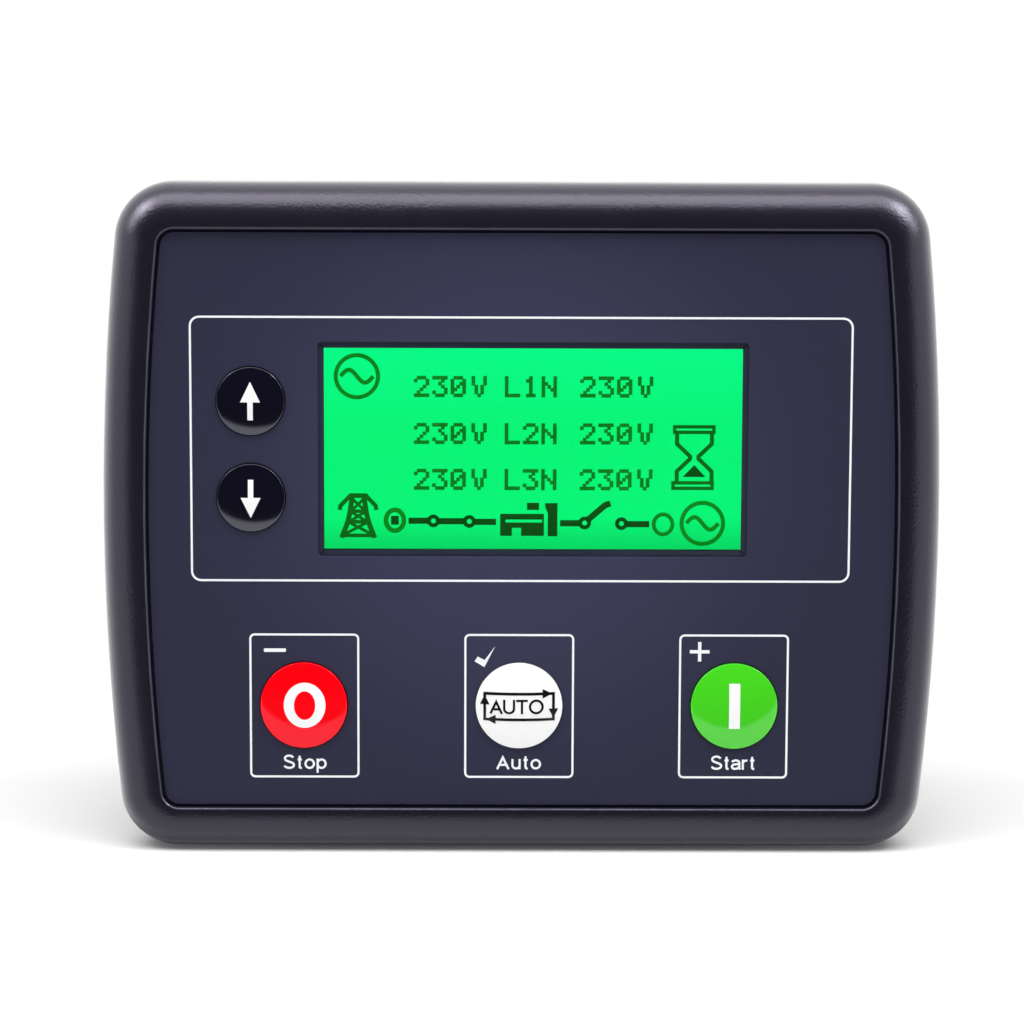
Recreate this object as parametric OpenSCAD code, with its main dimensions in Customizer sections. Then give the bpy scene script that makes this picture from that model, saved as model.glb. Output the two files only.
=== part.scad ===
// Panel-mounted generator controller. A bowed bezel with a rolled rim carries a printed fascia, a backlit
// screen and five domed push keys. Two stacked boards and a rear tub with plug-in terminals sit behind it.
// The front faces -Y and +Z is up. The origin is the centre of the panel face that the gasket rests on.

/* [Bezel] */
// Width of the bezel across the middle of its bulging sides
bezel_w = 140; // [136:1:150]
// Height of the bezel
bezel_h = 112; // [108:1:122]
// Depth of the bezel in front of the panel
bezel_d = 11; // [10:0.5:14]
// Radius of the bulging sides
side_r = 460; // [350:10:900]
// Outer corner radius
corner_r = 9.7; // [9:0.1:14]
// Corner radius of the recess for the fascia
lip_corner_r = 2.8; // [2:0.1:5]
// Width of the rolled rim, seen from the front
rim_w = 7.6; // [6.5:0.1:8.5]
// Depth of the roll, from the front of the rim to its straight side
roll_d = 6.5; // [5:0.25:8]
// Wall of the rim
rim_wall = 2.2; // [1.6:0.1:2.6]
// Rounding of the lip around the recess
lip_round = 0.6; // [0.2:0.1:0.8]
// Depth of the fascia below the front of the rim
recess_d = 1; // [0.6:0.1:1.6]
// Thickness of the face behind the fascia
face_t = 2; // [1.8:0.1:3]

/* [Fascia] */
// Thickness of the printed film
film_t = 0.5; // [0.3:0.1:0.8]
// Gap between the film and the lip around it
film_gap = 0.4; // [0.2:0.1:1]
// Width of the film's cut-out for the screen
window_w = 71.3; // [66:0.1:74]
// Height of the film's cut-out for the screen
window_h = 35.8; // [30:0.1:40]
// Corner radius of that cut-out
window_r = 0.8; // [0.4:0.1:2]

/* [Screen] */
// Screen centre, right of the middle
screen_x = 1.8; // [0:0.1:4]
// Screen centre, above the middle
screen_z = 12.05; // [10:0.05:14]
// Width of the lit area inside the stamped frame
view_w = 69.6; // [60:0.2:70]
// Height of the lit area inside the stamped frame
view_h = 33.9; // [28:0.1:34]
// Width of the stamped frame beyond the lit area, each side
frame_lap = 3.6; // [2:0.1:4]
// Height of the stamped frame beyond the lit area, each side
frame_lap_h = 5.6; // [4:0.1:7]
// Sheet thickness of the stamped frame
sheet_t = 0.6; // [0.4:0.1:1]
// Thickness of the screen glass
glass_t = 2.5; // [1.6:0.1:3.2]
// Thickness of the backlight
backlight_t = 2.4; // [1.8:0.1:3.5]
// Thickness of the clear window
lens_t = 1.2; // [0.8:0.1:1.3]
// Border of the clear window behind the film, each side
lens_lap = 1.8; // [1:0.1:2.2]

/* [Keys] */
// Diameter of the three large keys
key_d = 14.5; // [12:0.1:16]
// Diameter of the two scroll keys
scroll_d = 11.3; // [9:0.1:12]
// Distance of the outer large keys from the bezel's sides
key_edge = 34; // [30:0.5:40]
// Place of the middle large key, right of the middle
key_x = -0.35; // [-2:0.05:2]
// Height of the large keys' row, from the middle
key_z = -31; // [-33:0.1:-28]
// Distance from the lit area to the middle of the scroll keys
scroll_space = 11.95; // [11.5:0.05:14]
// Spacing of the two scroll keys
scroll_pitch = 16.1; // [15:0.1:18]
// Clearance around each key
key_gap = 0.15; // [0.1:0.05:0.4]
// Height of a large key's top above the film
key_proud = 1.7; // [1.2:0.1:2.6]
// Height of the dome above a large key's straight side
dome_h = 1.3; // [0.6:0.1:1.6]
// Travel of a key
key_travel = 0.8; // [0.3:0.1:1]
// Width of the flange that holds a key behind the face
key_flange = 1.2; // [0.8:0.1:1.5]
// Thickness of that flange
key_flange_t = 1; // [0.6:0.1:1.1]
// Wall of a key
key_wall = 1.4; // [1:0.1:2]
// Diameter of the stem under a key
stem_d = 4.4; // [3.6:0.1:5.5]
// Width of a switch body
switch_w = 6; // [5:0.1:7]
// Height of a switch body
switch_h = 3.3; // [2.6:0.1:3.4]
// Diameter of a switch plunger
plunger_d = 3.4; // [2.6:0.1:4]
// Clearance around a switch plunger
plunger_gap = 0.1; // [0.05:0.05:0.3]

/* [Rear tub] */
// Distance of the tub from the bezel's sides
tub_inset_w = 11.5; // [11:0.25:12.5]
// Distance of the tub from the bezel's top and bottom
tub_inset_h = 10.5; // [9.5:0.25:11.5]
// Depth of the tub behind the panel
tub_d = 31; // [30:0.5:40]
// Corner radius of the tub
tub_r = 3; // [2:0.25:5]
// Wall of the tub
tub_wall = 2; // [1.6:0.1:2.4]
// Rounding of the tub's rear edges
tub_round = 1.2; // [0.6:0.1:1.6]
// Thickness of the tub's flange behind the bezel
flange_t = 3; // [2.6:0.1:3.4]
// Clearance between the flange and the bezel's wall
flange_gap = 0.2; // [0.15:0.05:0.5]
// Thickness of the panel gasket
gasket_t = 1.2; // [0.8:0.1:1.6]
// Clearance around the gasket's edges
gasket_gap = 0.4; // [0.2:0.1:0.6]
// Distance that the bezel's edge stops short of the panel
edge_short = 0.4; // [0.2:0.1:0.7]
// Side place of the corner screws, as a share of half the tub's height
corner_screw_share = 0.72; // [0.6:0.02:0.8]
// Diameter of a tub screw's shank
tub_screw_d = 2.9; // [2.5:0.1:3.1]
// Diameter of a tub screw's head
tub_head_d = 5.4; // [5:0.1:5.8]
// Thickness of a tub screw's head
tub_head_t = 1.6; // [1.2:0.1:1.7]
// Diameter of a screw boss
boss_d = 6; // [5.4:0.1:6.4]
// Clearance around screws in their holes
screw_gap = 0.1; // [0.05:0.05:0.2]

/* [Boards] */
// Gap between a board's edge and the tub
board_gap = 2; // [1.9:0.1:3]
// Thickness of a board
board_t = 1.6; // [1.2:0.1:2]
// Distance of a board's fixing holes from its edges
board_inset = 4; // [3.8:0.1:4.4]
// Diameter of the spacers' studs and the board screws
stud_d = 3; // [2.5:0.1:3.2]
// Width across the flats of a spacer
spacer_af = 5.5; // [5:0.1:6]
// Diameter of a board screw's head
board_head_d = 5.4; // [4.8:0.1:5.8]
// Thickness of a board screw's head
board_head_t = 1.9; // [1.4:0.1:2.4]
// Pitch of the pins that link the boards
link_pitch = 2.54; // [2:0.01:3]
// Pins in each row of the link
link_count = 8; // [4:1:10]
// Distance of the link from the boards' side
link_edge = 8.5; // [8:0.5:14]
// Side of the controller chip
chip_w = 14; // [10:0.5:18]
// Thickness of the controller chip
chip_t = 1.4; // [1:0.1:2]
// Length of a relay
relay_w = 19.2; // [16:0.1:20]
// Width of a relay
relay_h = 15.6; // [12:0.1:16]
// Height of a relay above its board
relay_t = 15.4; // [12:0.1:16]
// Spacing of the two relays
relay_pitch = 23; // [21:0.5:24]
// Place of the relay pair, from the middle
relay_x = -17; // [-20:0.5:-14]
// Diameter of a capacitor
capacitor_d = 10; // [8:0.1:11]
// Height of a capacitor
capacitor_h = 16; // [12:0.5:17]
// Spacing of the capacitors
capacitor_pitch = 13; // [11.5:0.1:13.5]
// Distance from the data socket to the capacitors
capacitor_space = 18; // [17:0.5:20]
// Side of the supply choke
choke_w = 12; // [9:0.5:14]
// Height of the supply choke
choke_t = 5.5; // [4:0.5:6]

/* [Terminals] */
// Pitch of the signal terminals
signal_pitch = 5.08; // [5:0.01:5.2]
// Pitch of the alternating-voltage terminals
mains_pitch = 7.62; // [7.5:0.01:7.7]
// Ways of an alternating-voltage plug
mains_ways = 4; // [3:1:4]
// Share of the lower row's ways that the supply plug takes
supply_share = 0.58; // [0.5:0.02:0.66]
// Space between neighbouring plugs
plug_space = 1.8; // [1.6:0.1:2.2]
// Height of a plug
plug_h = 12; // [11:0.1:13]
// Length of a plug, from its nose to its wire side
plug_l = 18.9; // [18:0.1:20]
// Distance that the plugs stand out of the tub
plug_proud = 1; // [0.5:0.1:1.5]
// Margin of a plug beyond its ways, each end
plug_end = 0.5; // [0.3:0.1:0.6]
// Height of a plug's nose
nose_h = 6.9; // [6:0.1:7.4]
// Length of a plug's nose
nose_l = 8; // [7:0.1:9]
// Clearance around a plug
plug_gap = 0.3; // [0.2:0.05:0.4]
// Wall of a header
header_wall = 1.1; // [0.8:0.1:1.1]
// Floor of a header
header_floor = 2.5; // [1.8:0.1:3]
// Distance from the tub's wall to the plugs
row_inset = 3.5; // [3:0.1:4.5]
// Width of a contact pin
pin_w = 1; // [0.8:0.05:1.1]
// Clearance around a contact pin
pin_gap = 0.1; // [0.05:0.05:0.2]
// Length of a contact pin in its plug
pin_reach = 6; // [4:0.5:6.5]
// Side of a wire entry
wire_w = 3.5; // [2.8:0.1:3.8]
// Depth of a wire entry
wire_l = 7; // [5:0.5:8]
// Diameter of a terminal screw
clamp_d = 3.3; // [2.6:0.1:3.5]
// Distance of the screws and wire entries from a plug's middle
clamp_z = 2.9; // [2.6:0.1:3.2]
// Depth of a terminal screw's head below the plug's face
clamp_sink = 1; // [0.5:0.1:1.5]
// Length of a terminal screw
clamp_l = 2.4; // [1.8:0.1:3.4]

/* [Data socket] */
// Width of the data socket
data_w = 12; // [11.6:0.1:13]
// Height of the data socket
data_h = 11; // [10.6:0.1:12]
// Width of its mouth
mouth_w = 8.5; // [8:0.1:9.4]
// Height of its mouth
mouth_h = 7.8; // [7.4:0.1:8.6]
// Depth of its mouth
mouth_d = 9; // [7:0.5:11]
// Width of the tongue in its mouth
tongue_w = 5.6; // [5:0.1:6.4]
// Height of the tongue in its mouth
tongue_h = 3.2; // [2.6:0.1:3.6]
// Distance of the data socket from the boards' side
data_edge = 13.5; // [12:0.5:16]
// Distance of the data socket's mouth below the tub's rear face
data_sink = 0.5; // [0.2:0.1:1.2]

/* [Panel clips] */
// Height of a clip
clip_h = 22; // [20:0.5:30]
// Thickness of a clip's foot
clip_t = 2.2; // [1.6:0.1:3]
// Distance of a clip's screw from the tub
clip_reach = 6.2; // [5.6:0.1:6.6]
// Diameter of a clip's boss
clip_boss_d = 8; // [7:0.1:8.6]
// Length of a clip along its screw
clip_l = 10.5; // [9:0.1:11]
// Depth of a clip behind the panel
clip_y = 10; // [9.4:0.1:10.4]
// Spacing of a clip's three hooks
hook_pitch = 8; // [6:0.5:8.5]
// Width of a hook
hook_w = 3.6; // [3:0.1:4]
// Thickness of a hook's neck
hook_t = 1.6; // [1.2:0.1:2]
// Length of a hook behind the wall
hook_l = 2; // [1.2:0.1:2.4]
// Clearance around a hook in its slot
hook_gap = 0.3; // [0.2:0.05:0.5]
// Diameter of a clip screw
clip_screw_d = 4; // [3:0.1:5]
// Thickest panel that the clips take
panel_max = 8; // [6:0.5:8.5]
// Thinnest panel that the clips take
panel_min = 1; // [0.8:0.1:2]
// Diameter of a clip screw's head
clip_head_d = 7; // [6:0.1:8]
// Thickness of a clip screw's head
clip_head_t = 2.4; // [1.8:0.1:3]

/* [Hidden] */
$fn = 64;
eps = 0.01;
corner_steps = 14;
side_steps = 14;
roll_steps = 14;
lip_steps = 4;
under_steps = 7;
rect_steps = 7;

y_rim = -bezel_d;
y_film = y_rim + recess_d;
y_face = y_film + film_t;
y_under = y_face + face_t;
y_glass = y_under + sheet_t;
y_backlight = y_glass + glass_t;
y_board = y_backlight + backlight_t;
y_board_back = y_board + board_t;
y_gasket = -gasket_t;
y_flange = y_gasket - flange_t;
y_inner = tub_d - tub_wall;
y_plug_back = tub_d + plug_proud;
y_nose = y_plug_back - plug_l;
y_plug_body = y_nose + nose_l;
y_header_end = y_plug_body - plug_gap;
y_term_back = y_nose - plug_gap - header_floor;
y_term = y_term_back - board_t;
y_switch = y_board - switch_h;
y_plunger = y_switch - key_travel;
y_blind = y_face + face_t / 2 - eps;

film_inset = rim_w + film_gap;
under_inset = rim_w - 1;
under_round = 0.2;
edge_round = 0.3;
edge_mid = 0.3;
flange_inset = rim_wall + flange_gap;
gasket_inset = flange_inset + gasket_gap;
flange_lead = 0.3;
under_y0 = y_flange - flange_lead;

lens_gap = 0.15;
lens_w = window_w + 2 * lens_lap;
lens_h = window_h + 2 * lens_lap;
frame_w = view_w + 2 * frame_lap;
frame_h = view_h + 2 * frame_lap_h;
glass_gap = 0.15;
glass_w = frame_w - 2 * sheet_t - 2 * glass_gap;
glass_h = frame_h - 2 * sheet_t - 2 * glass_gap;

key_pitch = bezel_w / 2 - key_edge;
key_side = key_proud - dome_h;
dome_r = (key_d * key_d / 4 + dome_h * dome_h) / (2 * dome_h);
scroll_x = screen_x - view_w / 2 - scroll_space;
KEYS = [[key_x - key_pitch, key_z, key_d], [key_x, key_z, key_d], [key_x + key_pitch, key_z, key_d]];
SCROLLS = [[scroll_x, screen_z + scroll_pitch / 2, scroll_d], [scroll_x, screen_z - scroll_pitch / 2, scroll_d]];
ALL_KEYS = concat(KEYS, SCROLLS);
pocket_r_lap = 0.4;
pocket_h = face_t - 0.2;
plunger_sink = 2.4;
switch_floor = 0.4;

tub_w = bezel_w - 2 * tub_inset_w;
tub_h = bezel_h - 2 * tub_inset_h;
inner_w = tub_w - 2 * tub_wall;
inner_h = tub_h - 2 * tub_wall;
inner_r = max(tub_r - tub_wall, 0.5);
corner_z = corner_screw_share * tub_h / 2;
corner_x = (tub_w / 2 + side_at(corner_z)) / 2;
middle_z = (tub_h / 2 + bezel_h / 2 - flange_inset) / 2;
TUB_SCREWS = [
    [corner_x, corner_z], [-corner_x, corner_z], [corner_x, -corner_z],
    [-corner_x, -corner_z], [0, middle_z], [0, -middle_z]
];
head_sink = 0.1;

board_w = inner_w - 2 * board_gap;
board_h = inner_h - 2 * board_gap;
board_r = 1.5;
post_x = board_w / 2 - board_inset;
post_z = board_h / 2 - board_inset;
POSTS = [[post_x, post_z], [-post_x, post_z], [post_x, -post_z], [-post_x, -post_z]];
board_screw_l = 5;
spacer_bore_l = 6;

row_z = inner_h / 2 - row_inset - plug_h / 2;
row_clear = header_wall - plug_end + 0.3;
row_room = board_w - 2 * (board_inset + board_head_d / 2 + row_clear);
mains_room = 2 * (mains_ways * mains_pitch + 2 * plug_end + plug_space);
low_ways = floor((row_room - plug_space - 4 * plug_end) / signal_pitch);
supply_ways = round(low_ways * supply_share);
current_ways = max(floor((row_room - mains_room - 2 * plug_end) / signal_pitch), 2);
SUPPLY = [supply_ways, signal_pitch];
SENSOR = [low_ways - supply_ways, signal_pitch];
GENERATOR = [mains_ways, mains_pitch];
MAINS = [mains_ways, mains_pitch];
CURRENT = [current_ways, signal_pitch];
TOP_ROW = [GENERATOR, MAINS, CURRENT];
LOW_ROW = [SUPPLY, SENSOR];
header_lap = 0.15;
header_h = nose_h + 2 * header_lap + 2 * header_wall;
groove_w = 0.7;
groove_d = 0.4;
slot_w = 0.7;
slot_d = 0.8;
tail_l = 1.5;

link_x = board_w / 2 - link_edge;
link_w = 2 * link_pitch;
link_l = link_count * link_pitch;
link_base = 2.5;
link_pin = 0.64;
link_hole = 0.9;
link_reach = 4;
chip_x = 8;
chip_z = -4;
lead_w = 0.3;
lead_l = 1;
lead_t = 0.2;
lead_pitch = 0.8;
relay_r = 0.8;
choke_x = -30;
choke_r = 1.5;
bead_h = 1.6;
bead_w = 0.8;
bead_d = 0.4;
data_x = board_w / 2 - data_edge;
capacitor_x = data_x - capacitor_space;
data_gap = 0.3;
tongue_short = 0.8;

clip_x = tub_w / 2 + clip_reach;
clip_web = 5.6;
hook_y = clip_y + 2;
hook_in = 1.3;
hook_slack = 0.1;
y_tip = panel_max + 0.2;
clip_travel = panel_max - panel_min;
clip_screw_l = clip_y + clip_l - y_tip + clip_travel + 0.4;
y_clip_head = y_tip + clip_screw_l;
tip_l = 1.2;
tip_d = clip_screw_d / 2;
cross_w = 1;
cross_l = clip_head_d - 2;
cross_d = 1.2;

// Half width of the tub's flange at height z
function side_at(z) = bezel_w / 2 - side_r + sqrt(pow(side_r - flange_inset, 2) - z * z);

// Corner radius of the bowed outline at a distance inside the bezel's edge
function radius_at(inset) = inset <= rim_w
    ? corner_r + (lip_corner_r - corner_r) * inset / rim_w
    : max(lip_corner_r - inset + rim_w, 0.5);

// Bowed outline at a distance inside the bezel's edge: straight top and bottom, bulging sides
function bowed(inset) = let (
        half_h = bezel_h / 2 - inset,
        big = side_r - inset,
        small = radius_at(inset),
        side_x = bezel_w / 2 - inset - big,
        cz = half_h - small,
        cx = side_x + sqrt(pow(big - small, 2) - cz * cz),
        tilt = atan2(cz, cx - side_x)
    ) concat(
        [for (i = [1:side_steps - 1]) let (a = tilt * (2 * i / side_steps - 1)) [side_x + big * cos(a), big * sin(a)]],
        [for (i = [0:corner_steps]) let (a = tilt + (90 - tilt) * i / corner_steps)
            [cx + small * cos(a), cz + small * sin(a)]],
        [for (i = [0:corner_steps]) let (a = 90 + (90 - tilt) * i / corner_steps)
            [small * cos(a) - cx, cz + small * sin(a)]],
        [for (i = [1:side_steps - 1]) let (a = 180 + tilt * (2 * i / side_steps - 1))
            [big * cos(a) - side_x, big * sin(a)]],
        [for (i = [0:corner_steps]) let (a = 180 + tilt + (90 - tilt) * i / corner_steps)
            [small * cos(a) - cx, small * sin(a) - cz]],
        [for (i = [0:corner_steps]) let (a = 270 + (90 - tilt) * i / corner_steps)
            [cx + small * cos(a), small * sin(a) - cz]]
    );

// Rectangle with rounded corners, centred on the origin
function rounded(w, h, r) = [
    for (k = [0:3], i = [0:rect_steps])
        let (a = 90 * k + 90 * i / rect_steps, sx = k == 0 || k == 3 ? 1 : -1, sz = k < 2 ? 1 : -1)
        [sx * (w / 2 - r) + r * cos(a), sz * (h / 2 - r) + r * sin(a)]
];

// Width of a plug and the middle of each plug in a row
function plug_w(kind) = kind[0] * kind[1] + 2 * plug_end;
function row_w(row, n) = n == 0 ? 0 : row_w(row, n - 1) + plug_w(row[n - 1]) + plug_space;
function plug_x(row, n) = row_w(row, n) + plug_w(row[n]) / 2 - (row_w(row, len(row)) - plug_space) / 2;
function way_x(kind, i) = (i - (kind[0] - 1) / 2) * kind[1];

// Closed skin over rings of points, each ring anticlockwise seen from the front
module skin(rings) {
    n = len(rings[0]);
    last = len(rings) - 1;
    polyhedron(
        points = [for (ring = rings, p = ring) p],
        faces = concat(
            [[for (i = [n - 1:-1:0]) i]],
            [for (k = [0:last - 1], i = [0:n - 1]) [k * n + i, k * n + (i + 1) % n, (k + 1) * n + (i + 1) % n]],
            [for (k = [0:last - 1], i = [0:n - 1]) [k * n + i, (k + 1) * n + (i + 1) % n, (k + 1) * n + i]],
            [[for (i = [0:n - 1]) last * n + i]]
        ),
        convexity = 6
    );
}

// Outline drawn in X and Z, drawn out from depth y0 to depth y1
module slab(y0, y1) {
    translate([0, y1, 0])
        rotate([90, 0, 0])
            linear_extrude(y1 - y0)
                children();
}

// Round bar along Y
module rod(x, z, y0, y1, d) {
    translate([x, y0, z])
        rotate([-90, 0, 0])
            cylinder(d = d, h = y1 - y0);
}

// Box given by its middle in X and Z and its two depths
module block(x, z, w, h, y0, y1) {
    translate([x - w / 2, y0, z - h / 2])
        cube([w, y1 - y0, h]);
}

// Bezel

function lip_ring(i) = [
    rim_w - lip_round + lip_round * cos(90 * i),
    y_rim + lip_round - lip_round * sin(90 * i)
];
function roll_ring(i) = [
    (rim_w - lip_round) * (1 - cos(90 * i)),
    y_rim + roll_d - roll_d * sin(90 * i)
];
function under_ring(i) = [
    rim_wall + (under_inset - under_round - rim_wall) * (1 - cos(90 * i)),
    under_y0 - (under_y0 - y_rim - rim_wall) * sin(90 * i)
];

// Section of the rim as distances inside the edge and depths, from the recess over the rim to the back of the face
RIM = concat(
    [[rim_w, y_face]],
    [for (i = [0:lip_steps]) lip_ring(i / lip_steps)],
    [for (i = [1:roll_steps]) roll_ring(1 - i / roll_steps)],
    [[0, -edge_short - edge_round], [edge_round * edge_mid, -edge_short - edge_round * edge_mid]],
    [[edge_round, -edge_short], [rim_wall, -edge_short]],
    [for (i = [0:under_steps]) under_ring(i / under_steps)],
    [[under_inset, y_under]]
);

module bezel_skin() {
    skin([for (s = RIM) [for (p = bowed(s[0])) [p[0], s[1], p[1]]]]);
}

module bezel() {
    color([0.07, 0.07, 0.08])
    difference() {
        union() {
            bezel_skin();
            for (p = POSTS)
                rod(p[0], p[1], y_under - face_t / 4, y_board, boss_d);
            for (p = TUB_SCREWS)
                rod(p[0], p[1], y_under - face_t / 4, y_flange, boss_d);
        }
        for (p = POSTS)
            rod(p[0], p[1], y_blind, y_board + eps, stud_d + screw_gap);
        for (p = TUB_SCREWS)
            rod(p[0], p[1], y_blind, y_flange + eps, tub_screw_d + screw_gap);
        for (k = ALL_KEYS)
            rod(k[0], k[1], y_face - eps, y_under + eps, k[2] + 2 * key_gap);
        slab(y_face - eps, y_under + eps)
            translate([screen_x, screen_z])
                polygon(rounded(window_w, window_h, window_r));
        slab(y_face - eps, y_face + lens_t)
            translate([screen_x, screen_z])
                polygon(rounded(lens_w + 2 * lens_gap, lens_h + 2 * lens_gap, window_r));
    }
}

// Fascia and screen

module fascia_film() {
    color([0.2, 0.21, 0.3])
    slab(y_film, y_face)
        difference() {
            polygon(bowed(film_inset));
            translate([screen_x, screen_z])
                polygon(rounded(window_w, window_h, window_r));
            for (k = ALL_KEYS)
                translate([k[0], k[1]])
                    circle(d = k[2] + 2 * key_gap);
        }
}

module display_window() {
    color([0.8, 0.9, 0.85, 0.4])
    slab(y_face, y_face + lens_t)
        translate([screen_x, screen_z])
            polygon(rounded(lens_w, lens_h, window_r));
}

module display_frame() {
    color([0.1, 0.1, 0.1])
    difference() {
        block(screen_x, screen_z, frame_w, frame_h, y_under, y_board);
        block(screen_x, screen_z, frame_w - 2 * sheet_t, frame_h - 2 * sheet_t, y_glass, y_board + eps);
        block(screen_x, screen_z, view_w, view_h, y_under - eps, y_glass + eps);
    }
}

module display_glass() {
    color([0.1, 0.9, 0.5])
    block(screen_x, screen_z, glass_w, glass_h, y_glass, y_backlight);
}

module display_backlight() {
    color([0.9, 0.95, 0.9])
    block(screen_x, screen_z, glass_w, glass_h, y_backlight, y_board);
}

// Keys

// Turned shape around a line along Y, drawn as radius and height in front of the panel
module turned(x, z) {
    translate([x, 0, z])
        rotate([90, 0, 0])
            rotate_extrude()
                children();
}

module key_cap(k) {
    r = k[2] / 2;
    top = key_side + dome_r - sqrt(dome_r * dome_r - r * r) - y_film;
    back = -(y_under + key_flange_t);
    turned(k[0], k[1])
        difference() {
            union() {
                intersection() {
                    translate([0, back])
                        square([r, top - back]);
                    translate([0, top - dome_r])
                        circle(r = dome_r, $fn = 128);
                }
                translate([0, back])
                    square([r + key_flange, key_flange_t]);
                translate([0, -y_plunger])
                    square([stem_d / 2, back + y_plunger + eps]);
            }
            translate([stem_d / 2, back - eps])
                square([r - key_wall - stem_d / 2, pocket_h + key_flange_t]);
        }
}

module key_plunger(k) {
    rod(k[0], k[1], y_plunger, y_plunger + plunger_sink, plunger_d);
}

module stop_key() {
    color([0.9, 0.02, 0.03])
    key_cap(KEYS[0]);
}

module auto_key() {
    color([0.95, 0.95, 0.95])
    key_cap(KEYS[1]);
}

module start_key() {
    color([0.2, 0.75, 0.05])
    key_cap(KEYS[2]);
}

module up_key() {
    color([0.04, 0.04, 0.05])
    key_cap(SCROLLS[0]);
}

module down_key() {
    color([0.04, 0.04, 0.05])
    key_cap(SCROLLS[1]);
}

module stop_plunger() {
    color([0.15, 0.15, 0.15])
    key_plunger(KEYS[0]);
}

module auto_plunger() {
    color([0.15, 0.15, 0.15])
    key_plunger(KEYS[1]);
}

module start_plunger() {
    color([0.15, 0.15, 0.15])
    key_plunger(KEYS[2]);
}

module up_plunger() {
    color([0.15, 0.15, 0.15])
    key_plunger(SCROLLS[0]);
}

module down_plunger() {
    color([0.15, 0.15, 0.15])
    key_plunger(SCROLLS[1]);
}

module key_switches() {
    color([0.6, 0.6, 0.62])
    for (k = ALL_KEYS)
        difference() {
            block(k[0], k[1], switch_w, switch_w, y_switch, y_board);
            rod(k[0], k[1], y_switch - eps, y_board - switch_floor, plunger_d + 2 * plunger_gap);
        }
}

// Boards and what they carry

module front_board() {
    color([0.05, 0.3, 0.15])
    slab(y_board, y_board_back)
        difference() {
            polygon(rounded(board_w, board_h, board_r));
            for (p = POSTS)
                translate(p)
                    circle(d = stud_d + 2 * screw_gap);
        }
}

module controller_chip() {
    color([0.1, 0.1, 0.1])
    union() {
        block(chip_x, chip_z, chip_w, chip_w, y_board_back, y_board_back + chip_t);
        for (i = [1:floor(chip_w / lead_pitch) - 1], turn = [0, 90])
            translate([chip_x, 0, chip_z])
                rotate([0, turn, 0])
                    block(i * lead_pitch - chip_w / 2, 0, lead_w, chip_w + 2 * lead_l, y_board_back, y_board_back + lead_t);
    }
}

module board_spacers() {
    color([0.75, 0.65, 0.35])
    for (p = POSTS)
        difference() {
            union() {
                translate([p[0], y_board_back, p[1]])
                    rotate([-90, 0, 0])
                        cylinder(d = spacer_af / cos(30), h = y_term - y_board_back, $fn = 6);
                rod(p[0], p[1], y_blind + face_t / 4, y_board_back + eps, stud_d);
            }
            rod(p[0], p[1], y_term - spacer_bore_l, y_term + eps, stud_d + screw_gap);
        }
}

module link_header() {
    color([0.12, 0.12, 0.12])
    union() {
        block(link_x, 0, link_w, link_l, y_board_back, y_board_back + link_base);
        for (row = [-0.5, 0.5], i = [0:link_count - 1])
            block(
                link_x + row * link_pitch, (i - (link_count - 1) / 2) * link_pitch,
                link_pin, link_pin, y_board_back, y_board_back + link_base + link_reach
            );
    }
}

module link_socket() {
    color([0.12, 0.12, 0.12])
    difference() {
        block(link_x, 0, link_w, link_l, y_board_back + link_base, y_term);
        for (row = [-0.5, 0.5], i = [0:link_count - 1])
            block(
                link_x + row * link_pitch, (i - (link_count - 1) / 2) * link_pitch,
                link_hole, link_hole, y_board_back + link_base - eps, y_board_back + link_base + link_reach + pin_gap
            );
    }
}

module terminal_board() {
    color([0.05, 0.3, 0.15])
    slab(y_term, y_term_back)
        difference() {
            polygon(rounded(board_w, board_h, board_r));
            for (p = POSTS)
                translate(p)
                    circle(d = stud_d + 2 * screw_gap);
            for (n = [0:len(TOP_ROW) - 1])
                pin_holes(TOP_ROW, n, row_z);
            for (n = [0:len(LOW_ROW) - 1])
                pin_holes(LOW_ROW, n, -row_z);
        }
}

module pin_holes(row, n, z) {
    for (i = [0:row[n][0] - 1])
        translate([plug_x(row, n) + way_x(row[n], i), z])
            circle(d = pin_w * sqrt(2) + pin_gap, $fn = 24);
}

module board_screws() {
    color([0.7, 0.7, 0.72])
    for (p = POSTS)
        union() {
            rod(p[0], p[1], y_term_back, y_term_back + board_head_t, board_head_d);
            rod(p[0], p[1], y_term - board_screw_l, y_term_back + eps, stud_d);
        }
}

module relay(x) {
    slab(y_term_back, y_term_back + relay_t)
        translate([x, 0])
            polygon(rounded(relay_w, relay_h, relay_r));
}

module generator_relay() {
    color([0.15, 0.3, 0.6])
    relay(relay_x - relay_pitch / 2);
}

module mains_relay() {
    color([0.15, 0.3, 0.6])
    relay(relay_x + relay_pitch / 2);
}

module capacitors() {
    color([0.12, 0.12, 0.2])
    for (side = [-1, 1])
        translate([capacitor_x, y_term_back, side * capacitor_pitch / 2])
            rotate([-90, 0, 0])
                rotate_extrude()
                    difference() {
                        square([capacitor_d / 2, capacitor_h]);
                        translate([capacitor_d / 2 - bead_d, bead_h])
                            square([bead_d + eps, bead_w]);
                    }
}

module supply_choke() {
    color([0.2, 0.2, 0.2])
    slab(y_term - choke_t, y_term)
        translate([choke_x, 0])
            polygon(rounded(choke_w, choke_w, choke_r));
}

module usb_socket() {
    y_mouth = tub_d - data_sink;
    color([0.75, 0.75, 0.77])
    union() {
        difference() {
            block(data_x, 0, data_w, data_h, y_term_back, y_mouth);
            block(data_x, 0, mouth_w, mouth_h, y_mouth - mouth_d, y_mouth + eps);
        }
        block(data_x, 0, tongue_w, tongue_h, y_mouth - mouth_d - eps, y_mouth - tongue_short);
    }
}

// Terminals

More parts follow.
